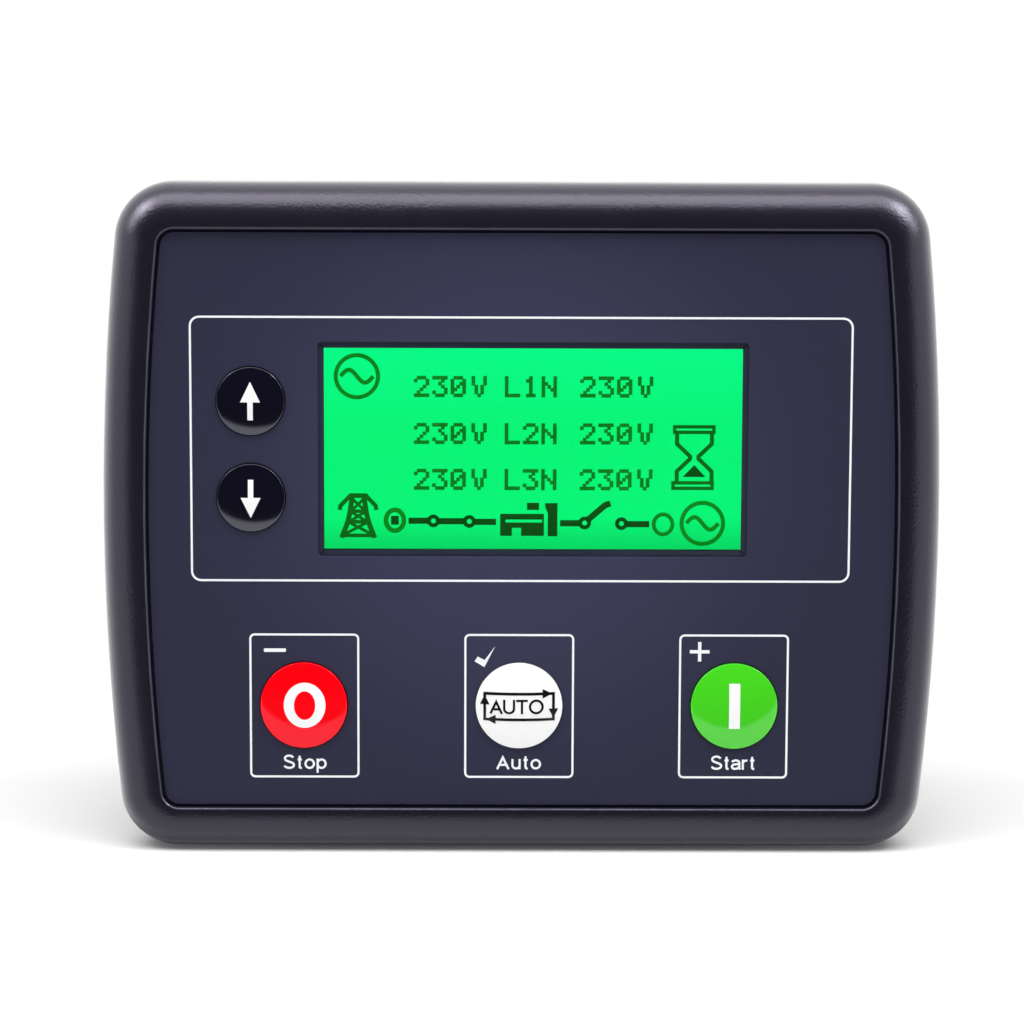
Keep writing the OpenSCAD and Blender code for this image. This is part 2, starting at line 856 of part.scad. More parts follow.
module header(row, n, z) {
    kind = row[n];
    ways_w = kind[0] * kind[1];
    x = plug_x(row, n);
    difference() {
        block(x, z, ways_w + 2 * header_wall, header_h, y_term_back, y_header_end);
        block(x, z, ways_w, header_h - 2 * header_wall, y_term_back + header_floor, y_header_end + eps);
        for (i = [0:kind[0] - 1])
            block(
                x + way_x(kind, i), z, pin_w + pin_gap, pin_w + pin_gap,
                y_term_back - eps, y_term_back + header_floor + eps
            );
    }
}

module plug(row, n, z) {
    kind = row[n];
    ways_w = kind[0] * kind[1];
    x = plug_x(row, n);
    difference() {
        union() {
            block(x, z, ways_w - 2 * header_lap, nose_h, y_nose, y_plug_body + eps);
            block(x, z, plug_w(kind), plug_h, y_plug_body, y_plug_back);
        }
        for (i = [0:kind[0] - 1])
            plug_way(x + way_x(kind, i), z);
        for (i = [1:kind[0] - 1], side = [-1, 1])
            block(
                x + (i - kind[0] / 2) * kind[1], z + side * plug_h / 2, groove_w, 2 * groove_d,
                y_plug_body - eps, y_plug_back + eps
            );
    }
}

// Cavities of one way: the pin's, the wire's and the screw's
module plug_way(x, z) {
    block(x, z, pin_w + 2 * pin_gap, pin_w + 2 * pin_gap, y_nose - eps, y_nose + pin_reach + pin_gap);
    block(x, z - clamp_z, wire_w, wire_w, y_plug_back - wire_l, y_plug_back + eps);
    rod(x, z + clamp_z, y_plug_back - clamp_sink - clamp_l, y_plug_back + eps, clamp_d + 2 * screw_gap);
}

module row_pins(row, z) {
    for (n = [0:len(row) - 1], i = [0:row[n][0] - 1])
        block(plug_x(row, n) + way_x(row[n], i), z, pin_w, pin_w, y_term - tail_l, y_nose + pin_reach);
}

module row_screws(row, z) {
    y_head = y_plug_back - clamp_sink;
    for (n = [0:len(row) - 1], i = [0:row[n][0] - 1])
        difference() {
            rod(plug_x(row, n) + way_x(row[n], i), z + clamp_z, y_head - clamp_l, y_head, clamp_d);
            block(
                plug_x(row, n) + way_x(row[n], i), z + clamp_z, 2 * clamp_d, slot_w,
                y_head - slot_d, y_head + eps
            );
        }
}

module generator_header() {
    color([0.1, 0.35, 0.15])
    header(TOP_ROW, 0, row_z);
}

module mains_header() {
    color([0.1, 0.35, 0.15])
    header(TOP_ROW, 1, row_z);
}

module current_header() {
    color([0.1, 0.35, 0.15])
    header(TOP_ROW, 2, row_z);
}

module supply_header() {
    color([0.1, 0.35, 0.15])
    header(LOW_ROW, 0, -row_z);
}

module sensor_header() {
    color([0.1, 0.35, 0.15])
    header(LOW_ROW, 1, -row_z);
}

module generator_plug() {
    color([0.15, 0.45, 0.2])
    plug(TOP_ROW, 0, row_z);
}

module mains_plug() {
    color([0.15, 0.45, 0.2])
    plug(TOP_ROW, 1, row_z);
}

module current_plug() {
    color([0.15, 0.45, 0.2])
    plug(TOP_ROW, 2, row_z);
}

module supply_plug() {
    color([0.15, 0.45, 0.2])
    plug(LOW_ROW, 0, -row_z);
}

module sensor_plug() {
    color([0.15, 0.45, 0.2])
    plug(LOW_ROW, 1, -row_z);
}

module header_pins() {
    color([0.8, 0.75, 0.5])
    union() {
        row_pins(TOP_ROW, row_z);
        row_pins(LOW_ROW, -row_z);
    }
}

module terminal_screws() {
    color([0.75, 0.75, 0.77])
    union() {
        row_screws(TOP_ROW, row_z);
        row_screws(LOW_ROW, -row_z);
    }
}

// Rear tub, gasket and clips

function tub_ring(inset, y) = [for (p = rounded(tub_w - 2 * inset, tub_h - 2 * inset, tub_r)) [p[0], y, p[1]]];

module tub_skin() {
    skin(concat(
        [tub_ring(0, y_flange)],
        [for (i = [0:4]) tub_ring(tub_round * (1 - cos(22.5 * i)), tub_d - tub_round + tub_round * sin(22.5 * i))]
    ));
}

module plug_windows(row, z) {
    for (n = [0:len(row) - 1])
        block(
            plug_x(row, n), z, plug_w(row[n]) + 2 * plug_gap, plug_h + 2 * plug_gap,
            y_inner - eps, tub_d + eps
        );
}

module rear_case() {
    color([0.1, 0.1, 0.11])
    difference() {
        union() {
            tub_skin();
            slab(y_flange, y_gasket)
                polygon(bowed(flange_inset));
        }
        slab(y_flange - eps, y_inner)
            polygon(rounded(inner_w, inner_h, inner_r));
        plug_windows(TOP_ROW, row_z);
        plug_windows(LOW_ROW, -row_z);
        block(data_x, 0, data_w + 2 * data_gap, data_h + 2 * data_gap, y_inner - eps, tub_d + eps);
        for (p = TUB_SCREWS) {
            rod(p[0], p[1], y_flange - eps, y_gasket + eps, tub_screw_d + 2 * screw_gap);
            rod(p[0], p[1], y_gasket - tub_head_t - head_sink, y_gasket + eps, tub_head_d + 2 * screw_gap);
        }
        for (side = [-1, 1], i = [-1:1])
            block(
                side * (tub_w - tub_wall) / 2, i * hook_pitch, tub_wall + 2 * eps, hook_w + 2 * hook_gap,
                hook_y - hook_gap, hook_y + hook_t + hook_l + hook_gap
            );
    }
}

module case_screws() {
    color([0.6, 0.6, 0.62])
    for (p = TUB_SCREWS)
        union() {
            rod(p[0], p[1], y_gasket - tub_head_t - head_sink, y_gasket - head_sink, tub_head_d);
            rod(p[0], p[1], y_blind + face_t / 4, y_gasket - tub_head_t, tub_screw_d);
        }
}

module panel_gasket() {
    color([0.13, 0.13, 0.13])
    slab(y_gasket, 0)
        difference() {
            polygon(bowed(gasket_inset));
            polygon(rounded(tub_w + 2 * gasket_gap, tub_h + 2 * gasket_gap, tub_r));
        }
}

module clip() {
    x_wall = tub_w / 2;
    x_in = x_wall - tub_wall - hook_in;
    difference() {
        union() {
            translate([x_wall, clip_y, -clip_h / 2])
                cube([clip_t, clip_l, clip_h]);
            translate([x_wall, clip_y, -clip_web / 2])
                cube([clip_reach, clip_l, clip_web]);
            rod(clip_x, 0, clip_y, clip_y + clip_l, clip_boss_d);
            for (i = [-1:1]) {
                translate([x_in, hook_y, i * hook_pitch - hook_w / 2])
                    cube([x_wall - x_in + eps, hook_t, hook_w]);
                translate([x_in, hook_y, i * hook_pitch - hook_w / 2])
                    cube([hook_in - hook_slack, hook_t + hook_l, hook_w]);
            }
        }
        rod(clip_x, 0, clip_y - eps, clip_y + clip_l + eps, clip_screw_d + 2 * screw_gap);
    }
}

module clip_screw() {
    difference() {
        union() {
            turned_back(clip_x)
                polygon([
                    [0, y_tip], [tip_d / 2, y_tip], [clip_screw_d / 2, y_tip + tip_l],
                    [clip_screw_d / 2, y_clip_head], [0, y_clip_head]
                ]);
            rod(clip_x, 0, y_clip_head - eps, y_clip_head + clip_head_t, clip_head_d);
        }
        block(clip_x, 0, cross_l, cross_w, y_clip_head + clip_head_t - cross_d, y_clip_head + clip_head_t + eps);
        block(clip_x, 0, cross_w, cross_l, y_clip_head + clip_head_t - cross_d, y_clip_head + clip_head_t + eps);
    }
}

// Turned shape around a line along Y, drawn as radius and depth behind the panel
module turned_back(x) {
    translate([x, 0, 0])
        rotate([-90, 0, 0])
            rotate_extrude()
                children();
}

module left_clip() {
    color([0.12, 0.12, 0.13])
    mirror([1, 0, 0])
        clip();
}

module right_clip() {
    color([0.12, 0.12, 0.13])
    clip();
}

module left_clip_screw() {
    color([0.7, 0.7, 0.72])
    mirror([1, 0, 0])
        clip_screw();
}

module right_clip_screw() {
    color([0.7, 0.7, 0.72])
    clip_screw();
}

bezel();
fascia_film();
display_window();
display_frame();
display_glass();
display_backlight();
stop_key();
auto_key();
start_key();
up_key();
down_key();
stop_plunger();
auto_plunger();
start_plunger();
up_plunger();
down_plunger();
key_switches();
front_board();
controller_chip();
board_spacers();
link_header();
link_socket();
terminal_board();
board_screws();
generator_relay();
mains_relay();
capacitors();
supply_choke();
usb_socket();
supply_header();
sensor_header();
generator_header();
mains_header();
current_header();
header_pins();
supply_plug();
sensor_plug();
generator_plug();
mains_plug();
current_plug();
terminal_screws();
rear_case();
case_screws();
panel_gasket();
left_clip();
right_clip();
left_clip_screw();
right_clip_screw();
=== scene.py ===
"""Looks of a panel-mounted generator controller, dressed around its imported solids.

Sizes in the classes are millimetres: x to the right and z up, as seen from the front, and y going back.
Meshes are in metres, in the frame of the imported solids.
"""

import logging
import math
from dataclasses import dataclass, field
from enum import Enum
from functools import partial
from typing import ClassVar, Iterable, Optional, Protocol, Sequence

import bmesh
import bpy
from mathutils import Matrix, Vector


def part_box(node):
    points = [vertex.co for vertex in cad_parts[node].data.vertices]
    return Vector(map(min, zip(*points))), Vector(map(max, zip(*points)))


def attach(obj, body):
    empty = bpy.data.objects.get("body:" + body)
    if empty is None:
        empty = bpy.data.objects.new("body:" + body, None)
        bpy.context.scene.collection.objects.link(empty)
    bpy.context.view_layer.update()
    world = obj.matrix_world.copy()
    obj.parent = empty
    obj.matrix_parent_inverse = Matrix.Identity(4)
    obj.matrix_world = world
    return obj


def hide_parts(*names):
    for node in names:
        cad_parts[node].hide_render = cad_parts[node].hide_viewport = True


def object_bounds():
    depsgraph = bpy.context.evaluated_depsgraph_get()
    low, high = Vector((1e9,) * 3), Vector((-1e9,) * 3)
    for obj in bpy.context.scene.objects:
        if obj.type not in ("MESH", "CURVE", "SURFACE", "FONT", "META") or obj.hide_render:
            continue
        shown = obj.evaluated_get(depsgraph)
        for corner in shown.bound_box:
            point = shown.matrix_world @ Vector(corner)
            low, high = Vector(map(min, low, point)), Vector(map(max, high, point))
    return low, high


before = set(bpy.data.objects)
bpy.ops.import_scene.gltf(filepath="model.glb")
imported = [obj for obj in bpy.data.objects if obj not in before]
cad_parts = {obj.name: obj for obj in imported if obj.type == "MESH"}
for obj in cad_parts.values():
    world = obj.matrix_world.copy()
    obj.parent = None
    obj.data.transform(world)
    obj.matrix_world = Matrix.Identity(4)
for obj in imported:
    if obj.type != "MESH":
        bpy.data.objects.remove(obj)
CAD_BOX = [list(corner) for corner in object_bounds()]

MM = 0.001
LIFT = 0.004  # height of a stroke over the one that it crosses
TERMINALS = ("supply", "sensor", "generator", "mains", "current")
log = logging.getLogger("controller")

Colour = tuple[float, float, float]
Point = tuple[float, float]


class Body(Enum):
    """Bodies that the pieces ride on."""

    HOUSING = "housing"
    STOP = "stop_button"
    AUTO = "auto_button"
    START = "start_button"
    UP = "up_button"
    DOWN = "down_button"
    LEFT_CLAMP = "left_clamp"
    RIGHT_CLAMP = "right_clamp"


class Slot(Enum):
    """Material slots of the record that the pieces take their finish from."""

    RIM = "rim_plastic"
    FILM = "printed_film"
    WINDOW = "window_acrylic"
    FRAME = "black_frame"
    SCREEN = "screen_glass"
    RED_KEY = "red_key"
    WHITE_KEY = "white_key"
    GREEN_KEY = "green_key"
    BLACK_KEY = "black_key"
    STEEL = "screw_steel"
    SOCKET = "socket_steel"
    PLUG = "plug_plastic"
    TUB = "tub_plastic"
    GASKET = "gasket_rubber"


class Effect(Enum):
    """Surface effects that several finishes share."""

    GRAIN = "moulded_grain"
    STREAK = "drawn_streaks"
    DOTS = "dot_grid"


# Shader helpers


def add_node(tree: bpy.types.NodeTree, kind: str, **settings: object) -> bpy.types.Node:
    """Adds a node to a tree.

    Args:
        tree: The tree that gets the node.
        kind: The node's type name.
        settings: Properties of the node, by name.

    Returns:
        The new node.
    """
    node = tree.nodes.new(kind)
    for name, value in settings.items():
        setattr(node, name, value)
    return node


def feed(tree: bpy.types.NodeTree, socket: bpy.types.NodeSocket, value: object) -> None:
    """Feeds an input from another socket, or sets its value.

    Args:
        tree: The tree that holds the input.
        socket: The input.
        value: The other socket or the value.
    """
    if isinstance(value, bpy.types.NodeSocket):
        tree.links.new(value, socket)
    else:
        socket.default_value = value


def object_axes(tree: bpy.types.NodeTree) -> bpy.types.NodeOutputs:
    """Adds the Object coordinates, split into their axes.

    Args:
        tree: The tree that gets the nodes.

    Returns:
        The outputs X, Y and Z.
    """
    axes = add_node(tree, "ShaderNodeSeparateXYZ")
    feed(tree, axes.inputs[0], add_node(tree, "ShaderNodeTexCoord").outputs["Object"])
    return axes.outputs


def away_from(tree: bpy.types.NodeTree, place: Sequence[float]) -> bpy.types.NodeSocket:
    """Adds the distance of Object coordinates from a place.

    Args:
        tree: The tree that gets the nodes.
        place: The place, in millimetres.

    Returns:
        The distance, in metres.
    """
    away = add_node(tree, "ShaderNodeVectorMath", operation="DISTANCE")
    feed(tree, away.inputs[0], add_node(tree, "ShaderNodeTexCoord").outputs["Object"])
    away.inputs[1].default_value = Vector(place) * MM
    return away.outputs["Value"]


def math_node(tree: bpy.types.NodeTree, operation: str, *inputs: object) -> bpy.types.NodeSocket:
    """Adds a Math node.

    Args:
        tree: The tree that gets the node.
        operation: The node's operation.
        inputs: A socket or a number for each of its inputs.

    Returns:
        The node's output.
    """
    node = add_node(tree, "ShaderNodeMath", operation=operation)
    for socket, value in zip(node.inputs, inputs):
        feed(tree, socket, value)
    return node.outputs[0]


def ranged(
    tree: bpy.types.NodeTree, value: bpy.types.NodeSocket, source: Point, result: Point, soft: bool = False
) -> bpy.types.NodeSocket:
    """Maps a value from one range to another, clamped at the ends.

    Args:
        tree: The tree that gets the node.
        value: The value to map.
        source: Range that the value comes in.
        result: Range that it is mapped to.
        soft: Whether the change eases in and out.

    Returns:
        The mapped value.
    """
    node = add_node(tree, "ShaderNodeMapRange", interpolation_type="SMOOTHSTEP" if soft else "LINEAR")
    tree.links.new(value, node.inputs["Value"])
    for name, number in zip(("From Min", "From Max", "To Min", "To Max"), source + result):
        node.inputs[name].default_value = number
    return node.outputs["Result"]


def tinted(tree: bpy.types.NodeTree, colour: object, tone: bpy.types.NodeSocket) -> bpy.types.NodeSocket:
    """Multiplies a colour by a tone that changes over the surface.

    Args:
        tree: The tree that gets the node.
        colour: The colour, or a socket that gives it.
        tone: The tone, about 1.

    Returns:
        The varied colour.
    """
    node = add_node(tree, "ShaderNodeMix", data_type="RGBA", blend_type="MULTIPLY")
    node.inputs["Factor"].default_value = 1.0
    feed(tree, node.inputs["A"], (*colour, 1.0) if isinstance(colour, tuple) else colour)
    feed(tree, node.inputs["B"], tone)
    return node.outputs["Result"]


class EffectGroups:
    """Shader node groups of the shared effects, each built once."""

    _made: ClassVar[dict[Effect, bpy.types.NodeTree]] = {}

    @classmethod
    def place(
        cls, tree: bpy.types.NodeTree, effect: Effect, **values: float
    ) -> dict[str, bpy.types.NodeSocket]:
        """Places an effect in a material, on Object coordinates.

        Args:
            tree: The material's tree.
            effect: The effect.
            values: Values of the group's inputs, by name.

        Returns:
            The group's outputs, by name.
        """
        if effect not in cls._made:
            cls._made[effect] = cls._build(effect)
        node = add_node(tree, "ShaderNodeGroup", node_tree=cls._made[effect])
        coordinates = add_node(tree, "ShaderNodeTexCoord")
        tree.links.new(coordinates.outputs["Object"], node.inputs["Vector"])
        for name, value in values.items():
            node.inputs[name].default_value = value
        return {socket.name: socket for socket in node.outputs}

    @classmethod
    def _build(cls, effect: Effect) -> bpy.types.NodeTree:
        """Builds one effect's group.

        Args:
            effect: The effect.

        Returns:
            The finished group.
        """
        skin = (("Size", "Drift"), ("Height", "Tone", "Polish"))
        sockets, fill = {
            Effect.GRAIN: (skin, partial(cls._surface, stretch=1.0, spread=40.0, details=(2.0, 4.0))),
            Effect.STREAK: (skin, partial(cls._surface, stretch=0.08, spread=12.0, details=(3.0, 3.0))),
            Effect.DOTS: ((("Pitch", "Line"), ("Mask",)), cls._dots),
        }[effect]
        tree = bpy.data.node_groups.new(effect.value, "ShaderNodeTree")
        tree.interface.new_socket("Vector", in_out="INPUT", socket_type="NodeSocketVector")
        for direction, names in zip(("INPUT", "OUTPUT"), sockets):
            for name in names:
                tree.interface.new_socket(name, in_out=direction, socket_type="NodeSocketFloat")
        inside = add_node(tree, "NodeGroupInput").outputs
        outside = add_node(tree, "NodeGroupOutput").inputs
        for name, socket in fill(tree, inside).items():
            tree.links.new(socket, outside[name])
        return tree

    @staticmethod
    def _surface(
        tree: bpy.types.NodeTree,
        inside: bpy.types.NodeOutputs,
        stretch: float,
        spread: float,
        details: Point,
    ) -> dict[str, bpy.types.NodeSocket]:
        """Fine pits or drawn lines, over a broad drift of tone about 1 and of polish about 0.

        Args:
            tree: The group's tree.
            inside: The group's inputs.
            stretch: Scale of the fine noise in the direction of depth, under 1 for drawn lines.
            spread: How much broader the drift is.
            details: Detail of the fine and of the broad noise.

        Returns:
            The Height, Tone and Polish.
        """
        stretched = add_node(tree, "ShaderNodeMapping")
        stretched.inputs["Scale"].default_value = (1.0, stretch, 1.0)
        tree.links.new(inside["Vector"], stretched.inputs["Vector"])
        fine_scale = math_node(tree, "DIVIDE", 1.0, inside["Size"])
        broad_scale = math_node(tree, "DIVIDE", fine_scale, spread)
        noises = []
        for vector, scale, detail in (
            (stretched.outputs["Vector"], fine_scale, details[0]),
            (inside["Vector"], broad_scale, details[1]),
        ):
            noise = add_node(tree, "ShaderNodeTexNoise")
            for name, value in (("Vector", vector), ("Scale", scale), ("Detail", detail)):
                feed(tree, noise.inputs[name], value)
            noises.append(noise.outputs["Fac"])
        height, broad = noises
        polish = ranged(tree, broad, (0.3, 0.7), (-1.0, 1.0))
        tone = math_node(tree, "MULTIPLY_ADD", polish, inside["Drift"], 1.0)
        return {"Height": height, "Tone": tone, "Polish": polish}

    @staticmethod
    def _dots(tree: bpy.types.NodeTree, inside: bpy.types.NodeOutputs) -> dict[str, bpy.types.NodeSocket]:
        """Lines between the dots of a screen or the threads of a laminate.

        Args:
            tree: The group's tree.
            inside: The group's inputs.

        Returns:
            The Mask, 1 on the lines.
        """
        axes = add_node(tree, "ShaderNodeSeparateXYZ")
        tree.links.new(inside["Vector"], axes.inputs[0])
        lines = []
        for axis in ("X", "Z"):
            steps = math_node(tree, "DIVIDE", axes.outputs[axis], inside["Pitch"])
            part = math_node(tree, "FRACT", steps)
            lines.append(math_node(tree, "LESS_THAN", part, inside["Line"]))
        return {"Mask": math_node(tree, "MAXIMUM", *lines)}


# Finishes


@dataclass(frozen=True)
class Finish:
    """A moulded, printed or painted surface.

    Attributes:
        name: Name of the material.
        colour: Its colour, linear.
        roughness: Its roughness.
        grain: Size of its fine grain.
        relief: Height of that grain.
        drift: How far its tone wanders.
        polish: How far its roughness wanders.
        metallic: 1 for bare metal.
        specular: Specular level.
        coat: Weight of a clear coat.
        tint: Tint of its gloss.
        effect: The grain's kind.
    """

    name: str
    colour: Colour
    roughness: float
    grain: float = 0.25
    relief: float = 0.004
    drift: float = 0.05
    polish: float = 0.03
    metallic: float = 0.0
    specular: float = 0.5
    coat: float = 0.0
    tint: Colour = (1.0, 1.0, 1.0)
    effect: Effect = Effect.GRAIN

    def material(self) -> bpy.types.Material:
        """Gives the material, built at its first use."""
        return bpy.data.materials.get(self.name) or self._build()

    def _build(self) -> bpy.types.Material:
        """Builds the material.

        Returns:
            The new material.
        """
        made = bpy.data.materials.new(self.name)
        made.use_nodes = True
        made.diffuse_color = (*self.colour, 1.0)
        tree = made.node_tree
        shader = tree.nodes["Principled BSDF"]
        shader.inputs["Metallic"].default_value = self.metallic
        shader.inputs["Specular IOR Level"].default_value = self.specular
        shader.inputs["Specular Tint"].default_value = (*self.tint, 1.0)
        shader.inputs["Coat Weight"].default_value = self.coat
        shader.inputs["Coat Roughness"].default_value = 0.06
        surface = EffectGroups.place(tree, self.effect, Size=self.grain * MM, Drift=self.drift)
        tone = self._tone(tree, surface["Tone"])
        tree.links.new(tinted(tree, self.colour, tone), shader.inputs["Base Color"])
        rough = math_node(tree, "MULTIPLY_ADD", surface["Polish"], self.polish, self.roughness)
        tree.links.new(rough, shader.inputs["Roughness"])
        bump = add_node(tree, "ShaderNodeBump")
        bump.inputs["Distance"].default_value = self.relief * MM
        tree.links.new(surface["Height"], bump.inputs["Height"])
        tree.links.new(bump.outputs["Normal"], shader.inputs["Normal"])
        self._refine(tree, shader)
        return made

    def _tone(self, tree: bpy.types.NodeTree, drift: bpy.types.NodeSocket) -> bpy.types.NodeSocket:
        """Gives the tone of the colour, here the surface's drift."""
        return drift

    def _refine(self, tree: bpy.types.NodeTree, shader: bpy.types.Node) -> None:
        """Leaves the plain surface as it is."""


@dataclass(frozen=True)
class GlowFinish(Finish):
    """A backlit screen, paler at the top and deeper at the bottom.

    Attributes:
        top: Light at the screen's upper edge, linear.
        low: Light at its lower edge, linear.
        span: Heights of the two edges.
        even: Shares of that height between which the light is even.
        strength: Strength of the light.
        unlit: Colour of the glass without the light.
        pitch: Pitch of the screen's dots.
    """

    top: Colour = (0.0005, 0.96, 0.24)
    low: Colour = (0.001, 0.66, 0.12)
    span: Point = (-5.0, 29.0)
    even: Point = (0.16, 0.6)
    strength: float = 1.08
    unlit: Colour = (0.0, 0.02, 0.01)
    pitch: float = 0.5416

    def _refine(self, tree: bpy.types.NodeTree, shader: bpy.types.Node) -> None:
        """Adds the light.

        Args:
            tree: The material's tree.
            shader: Its shader.
        """
        height = ranged(tree, object_axes(tree)["Z"], (self.span[0] * MM, self.span[1] * MM), (0.0, 1.0))
        ramp = add_node(tree, "ShaderNodeValToRGB")
        tree.links.new(height, ramp.inputs["Fac"])
        ends = ramp.color_ramp.elements
        ends[0].color = (*self.low, 1.0)
        ends[1].color = (*self.top, 1.0)
        for place in self.even:
            ends.new(place).color = (*self.colour, 1.0)
        grid = EffectGroups.place(tree, Effect.DOTS, Pitch=self.pitch * MM, Line=0.12)
        shade = ranged(tree, grid["Mask"], (0.0, 1.0), (1.0, 0.965))
        tree.links.new(tinted(tree, ramp.outputs["Color"], shade), shader.inputs["Emission Color"])
        shader.inputs["Emission Strength"].default_value = self.strength
        for link in list(shader.inputs["Base Color"].links):
            tree.links.remove(link)
        shader.inputs["Base Color"].default_value = (*self.unlit, 1.0)


@dataclass(frozen=True)
class LitInk(Finish):
    """A dark mark of a backlit screen, which lets a little light through.

    Attributes:
        glow: The light that it lets through, linear.
    """

    glow: Colour = (0.0, 0.2, 0.0)

    def _refine(self, tree: bpy.types.NodeTree, shader: bpy.types.Node) -> None:
        """Adds the light.

        Args:
            tree: The material's tree.
            shader: Its shader.
        """
        surface = EffectGroups.place(tree, Effect.GRAIN, Size=self.grain * MM, Drift=self.drift)
        tree.links.new(tinted(tree, self.glow, surface["Tone"]), shader.inputs["Emission Color"])
        shader.inputs["Emission Strength"].default_value = 1.0


@dataclass(frozen=True)
class ClearFinish(Finish):
    """Clear acrylic."""

    def _refine(self, tree: bpy.types.NodeTree, shader: bpy.types.Node) -> None:
        """Makes it clear."""
        shader.inputs["Transmission Weight"].default_value = 1.0
        shader.inputs["IOR"].default_value = 1.49


@dataclass(frozen=True)
class LipHighlightFinish(Finish):
    """Moulded plastic with a painted highlight: paler along the narrow edges of its front, where the lip
    catches the light.

    Attributes:
        highlight_gain: How much paler the painted highlight makes those edges.
        bend: Pointiness between which a bend becomes an edge.
        front: Depths between which the front ends.
    """

    highlight_gain: float = 8.0
    bend: Point = (0.522, 0.536)
    front: Point = (-9.0, -7.0)

    def _tone(self, tree: bpy.types.NodeTree, drift: bpy.types.NodeSocket) -> bpy.types.NodeSocket:
        """Paints a highlight on the narrow edges of the front, making them paler.

        Args:
            tree: The material's tree.
            drift: The surface's drift, which this tone replaces.

        Returns:
            The tone.
        """
        ends = (self.front[0] * MM, self.front[1] * MM)
        ahead = ranged(tree, object_axes(tree)["Y"], ends, (1.0, 0.0), True)
        bend = add_node(tree, "ShaderNodeNewGeometry").outputs["Pointiness"]
        # painted highlight: convex bends near the front get a paler colour
        edge = ranged(tree, bend, self.bend, (0.0, self.highlight_gain - 1.0), True)
        return math_node(tree, "MULTIPLY_ADD", edge, ahead, 1.0)


@dataclass(frozen=True)
class PaintedSheenFinish(Finish):
    """A printed film with painted light: a painted sheen paler round a point, and painted shade deeper away
    from it.

    Attributes:
        middle: The point's place: to the right, back and up.
        reach: Distances from it between which the tone changes.
        tones: Tone at the two distances.
    """

    middle: tuple[float, float, float] = (-2.0, -10.0, 8.0)
    reach: Point = (14.0, 58.0)
    tones: Point = (1.42, 0.86)

    def _tone(self, tree: bpy.types.NodeTree, drift: bpy.types.NodeSocket) -> bpy.types.NodeSocket:
        """Paints the sheen and shade: the middle paler, the far parts deeper.

        Args:
            tree: The material's tree.
            drift: The surface's drift, which this tone replaces.

        Returns:
            The tone.
        """
        ends = (self.reach[0] * MM, self.reach[1] * MM)
        return ranged(tree, away_from(tree, self.middle), ends, self.tones, True)


@dataclass(frozen=True)
class LaminateFinish(Finish):
    """Board laminate with its woven glass showing through.

    Attributes:
        weave: Pitch of the threads.
    """

    weave: float = 0.8

    def _tone(self, tree: bpy.types.NodeTree, drift: bpy.types.NodeSocket) -> bpy.types.NodeSocket:
        """Makes the threads paler."""
        grid = EffectGroups.place(tree, Effect.DOTS, Pitch=self.weave * MM, Line=0.25)
        return ranged(tree, grid["Mask"], (0.0, 1.0), (1.0, 1.25))


# the rim's lip carries a painted highlight in its colour
RIM = LipHighlightFinish(
    "rim_satin", (0.0095, 0.0088, 0.0165), 0.26, grain=0.42, relief=0.05, specular=0.62,
    tint=(0.86, 0.81, 1.0),
)
# the film's tone carries a painted sheen round the middle and painted shade towards its corners
FILM = PaintedSheenFinish("film_velvet", (0.0248, 0.0250, 0.0572), 0.62, grain=0.12, relief=0.002, specular=0.2)
INK = Finish("white_ink", (0.88, 0.88, 0.91), 0.55, grain=0.10, relief=0.002, drift=0.03)
RED = Finish(
    "red_cap", (0.97, 0.0, 0.004), 0.10, grain=0.5, relief=0.0006, drift=0.02, polish=0.01, specular=0.42,
    tint=(0.8, 0.72, 1.0),
)
WHITE = Finish("white_cap", (0.92, 0.92, 0.92), 0.10, grain=0.5, relief=0.0006, drift=0.015, polish=0.01)
GREEN = Finish(
    "green_cap", (0.060, 0.64, 0.014), 0.10, grain=0.5, relief=0.0006, drift=0.03, polish=0.01, coat=0.5,
)
BLACK = Finish(
    "black_cap", (0.0035, 0.0028, 0.010), 0.10, grain=0.5, relief=0.0006, drift=0.1, polish=0.01,
    specular=1.0, coat=0.5, tint=(0.85, 0.85, 1.0),
)
LEGEND_WHITE = Finish("white_legend", (0.93, 0.93, 0.93), 0.22, grain=0.3, relief=0.0008, drift=0.015)
LEGEND_BLACK = Finish("black_legend", (0.006, 0.006, 0.007), 0.22, grain=0.3, relief=0.0008, drift=0.1)
ACRYLIC = ClearFinish(
    "clear_acrylic", (1.0, 1.0, 1.0), 0.02, grain=2.0, relief=0.0001, drift=0.0, polish=0.01,
)
# painted shade: the colour of the shaded recess round the screen, laid on the window as a band
SHADE_BAND_INK = Finish("painted_shade_band", (0.017, 0.022, 0.045), 0.5, grain=0.2, relief=0.001, specular=0.3)
FRAME_BLACK = Finish("frame_black", (0.015, 0.019, 0.034), 0.45, grain=0.3, relief=0.002)
GLOW = GlowFinish("screen_glow", (0.0005, 0.90, 0.18), 0.35, specular=0.2)
TEXT_INK = LitInk("screen_text", (0.0, 0.03, 0.0), 0.4, drift=0.12, glow=(0.0, 0.185, 0.002))
ICON_INK = LitInk("screen_icons", (0.0, 0.02, 0.0), 0.4, drift=0.12, glow=(0.0, 0.22, 0.004))
OUTLINE_INK = LitInk("screen_outlines", (0.0, 0.02, 0.0), 0.4, drift=0.12, glow=(0.0, 0.13, 0.001))
DEEP_INK = LitInk("screen_solid", (0.0, 0.02, 0.0), 0.4, drift=0.12, glow=(0.0, 0.058, 0.0))
TUB = Finish("tub_moulding", (0.013, 0.013, 0.015), 0.42, grain=0.30, relief=0.008, drift=0.06)
CLIP = Finish("clip_nylon", (0.016, 0.016, 0.018), 0.36, grain=0.28, relief=0.005, drift=0.10, polish=0.05)
RUBBER = Finish("foam_rubber", (0.020, 0.020, 0.021), 0.85, grain=0.45, relief=0.05, drift=0.15)
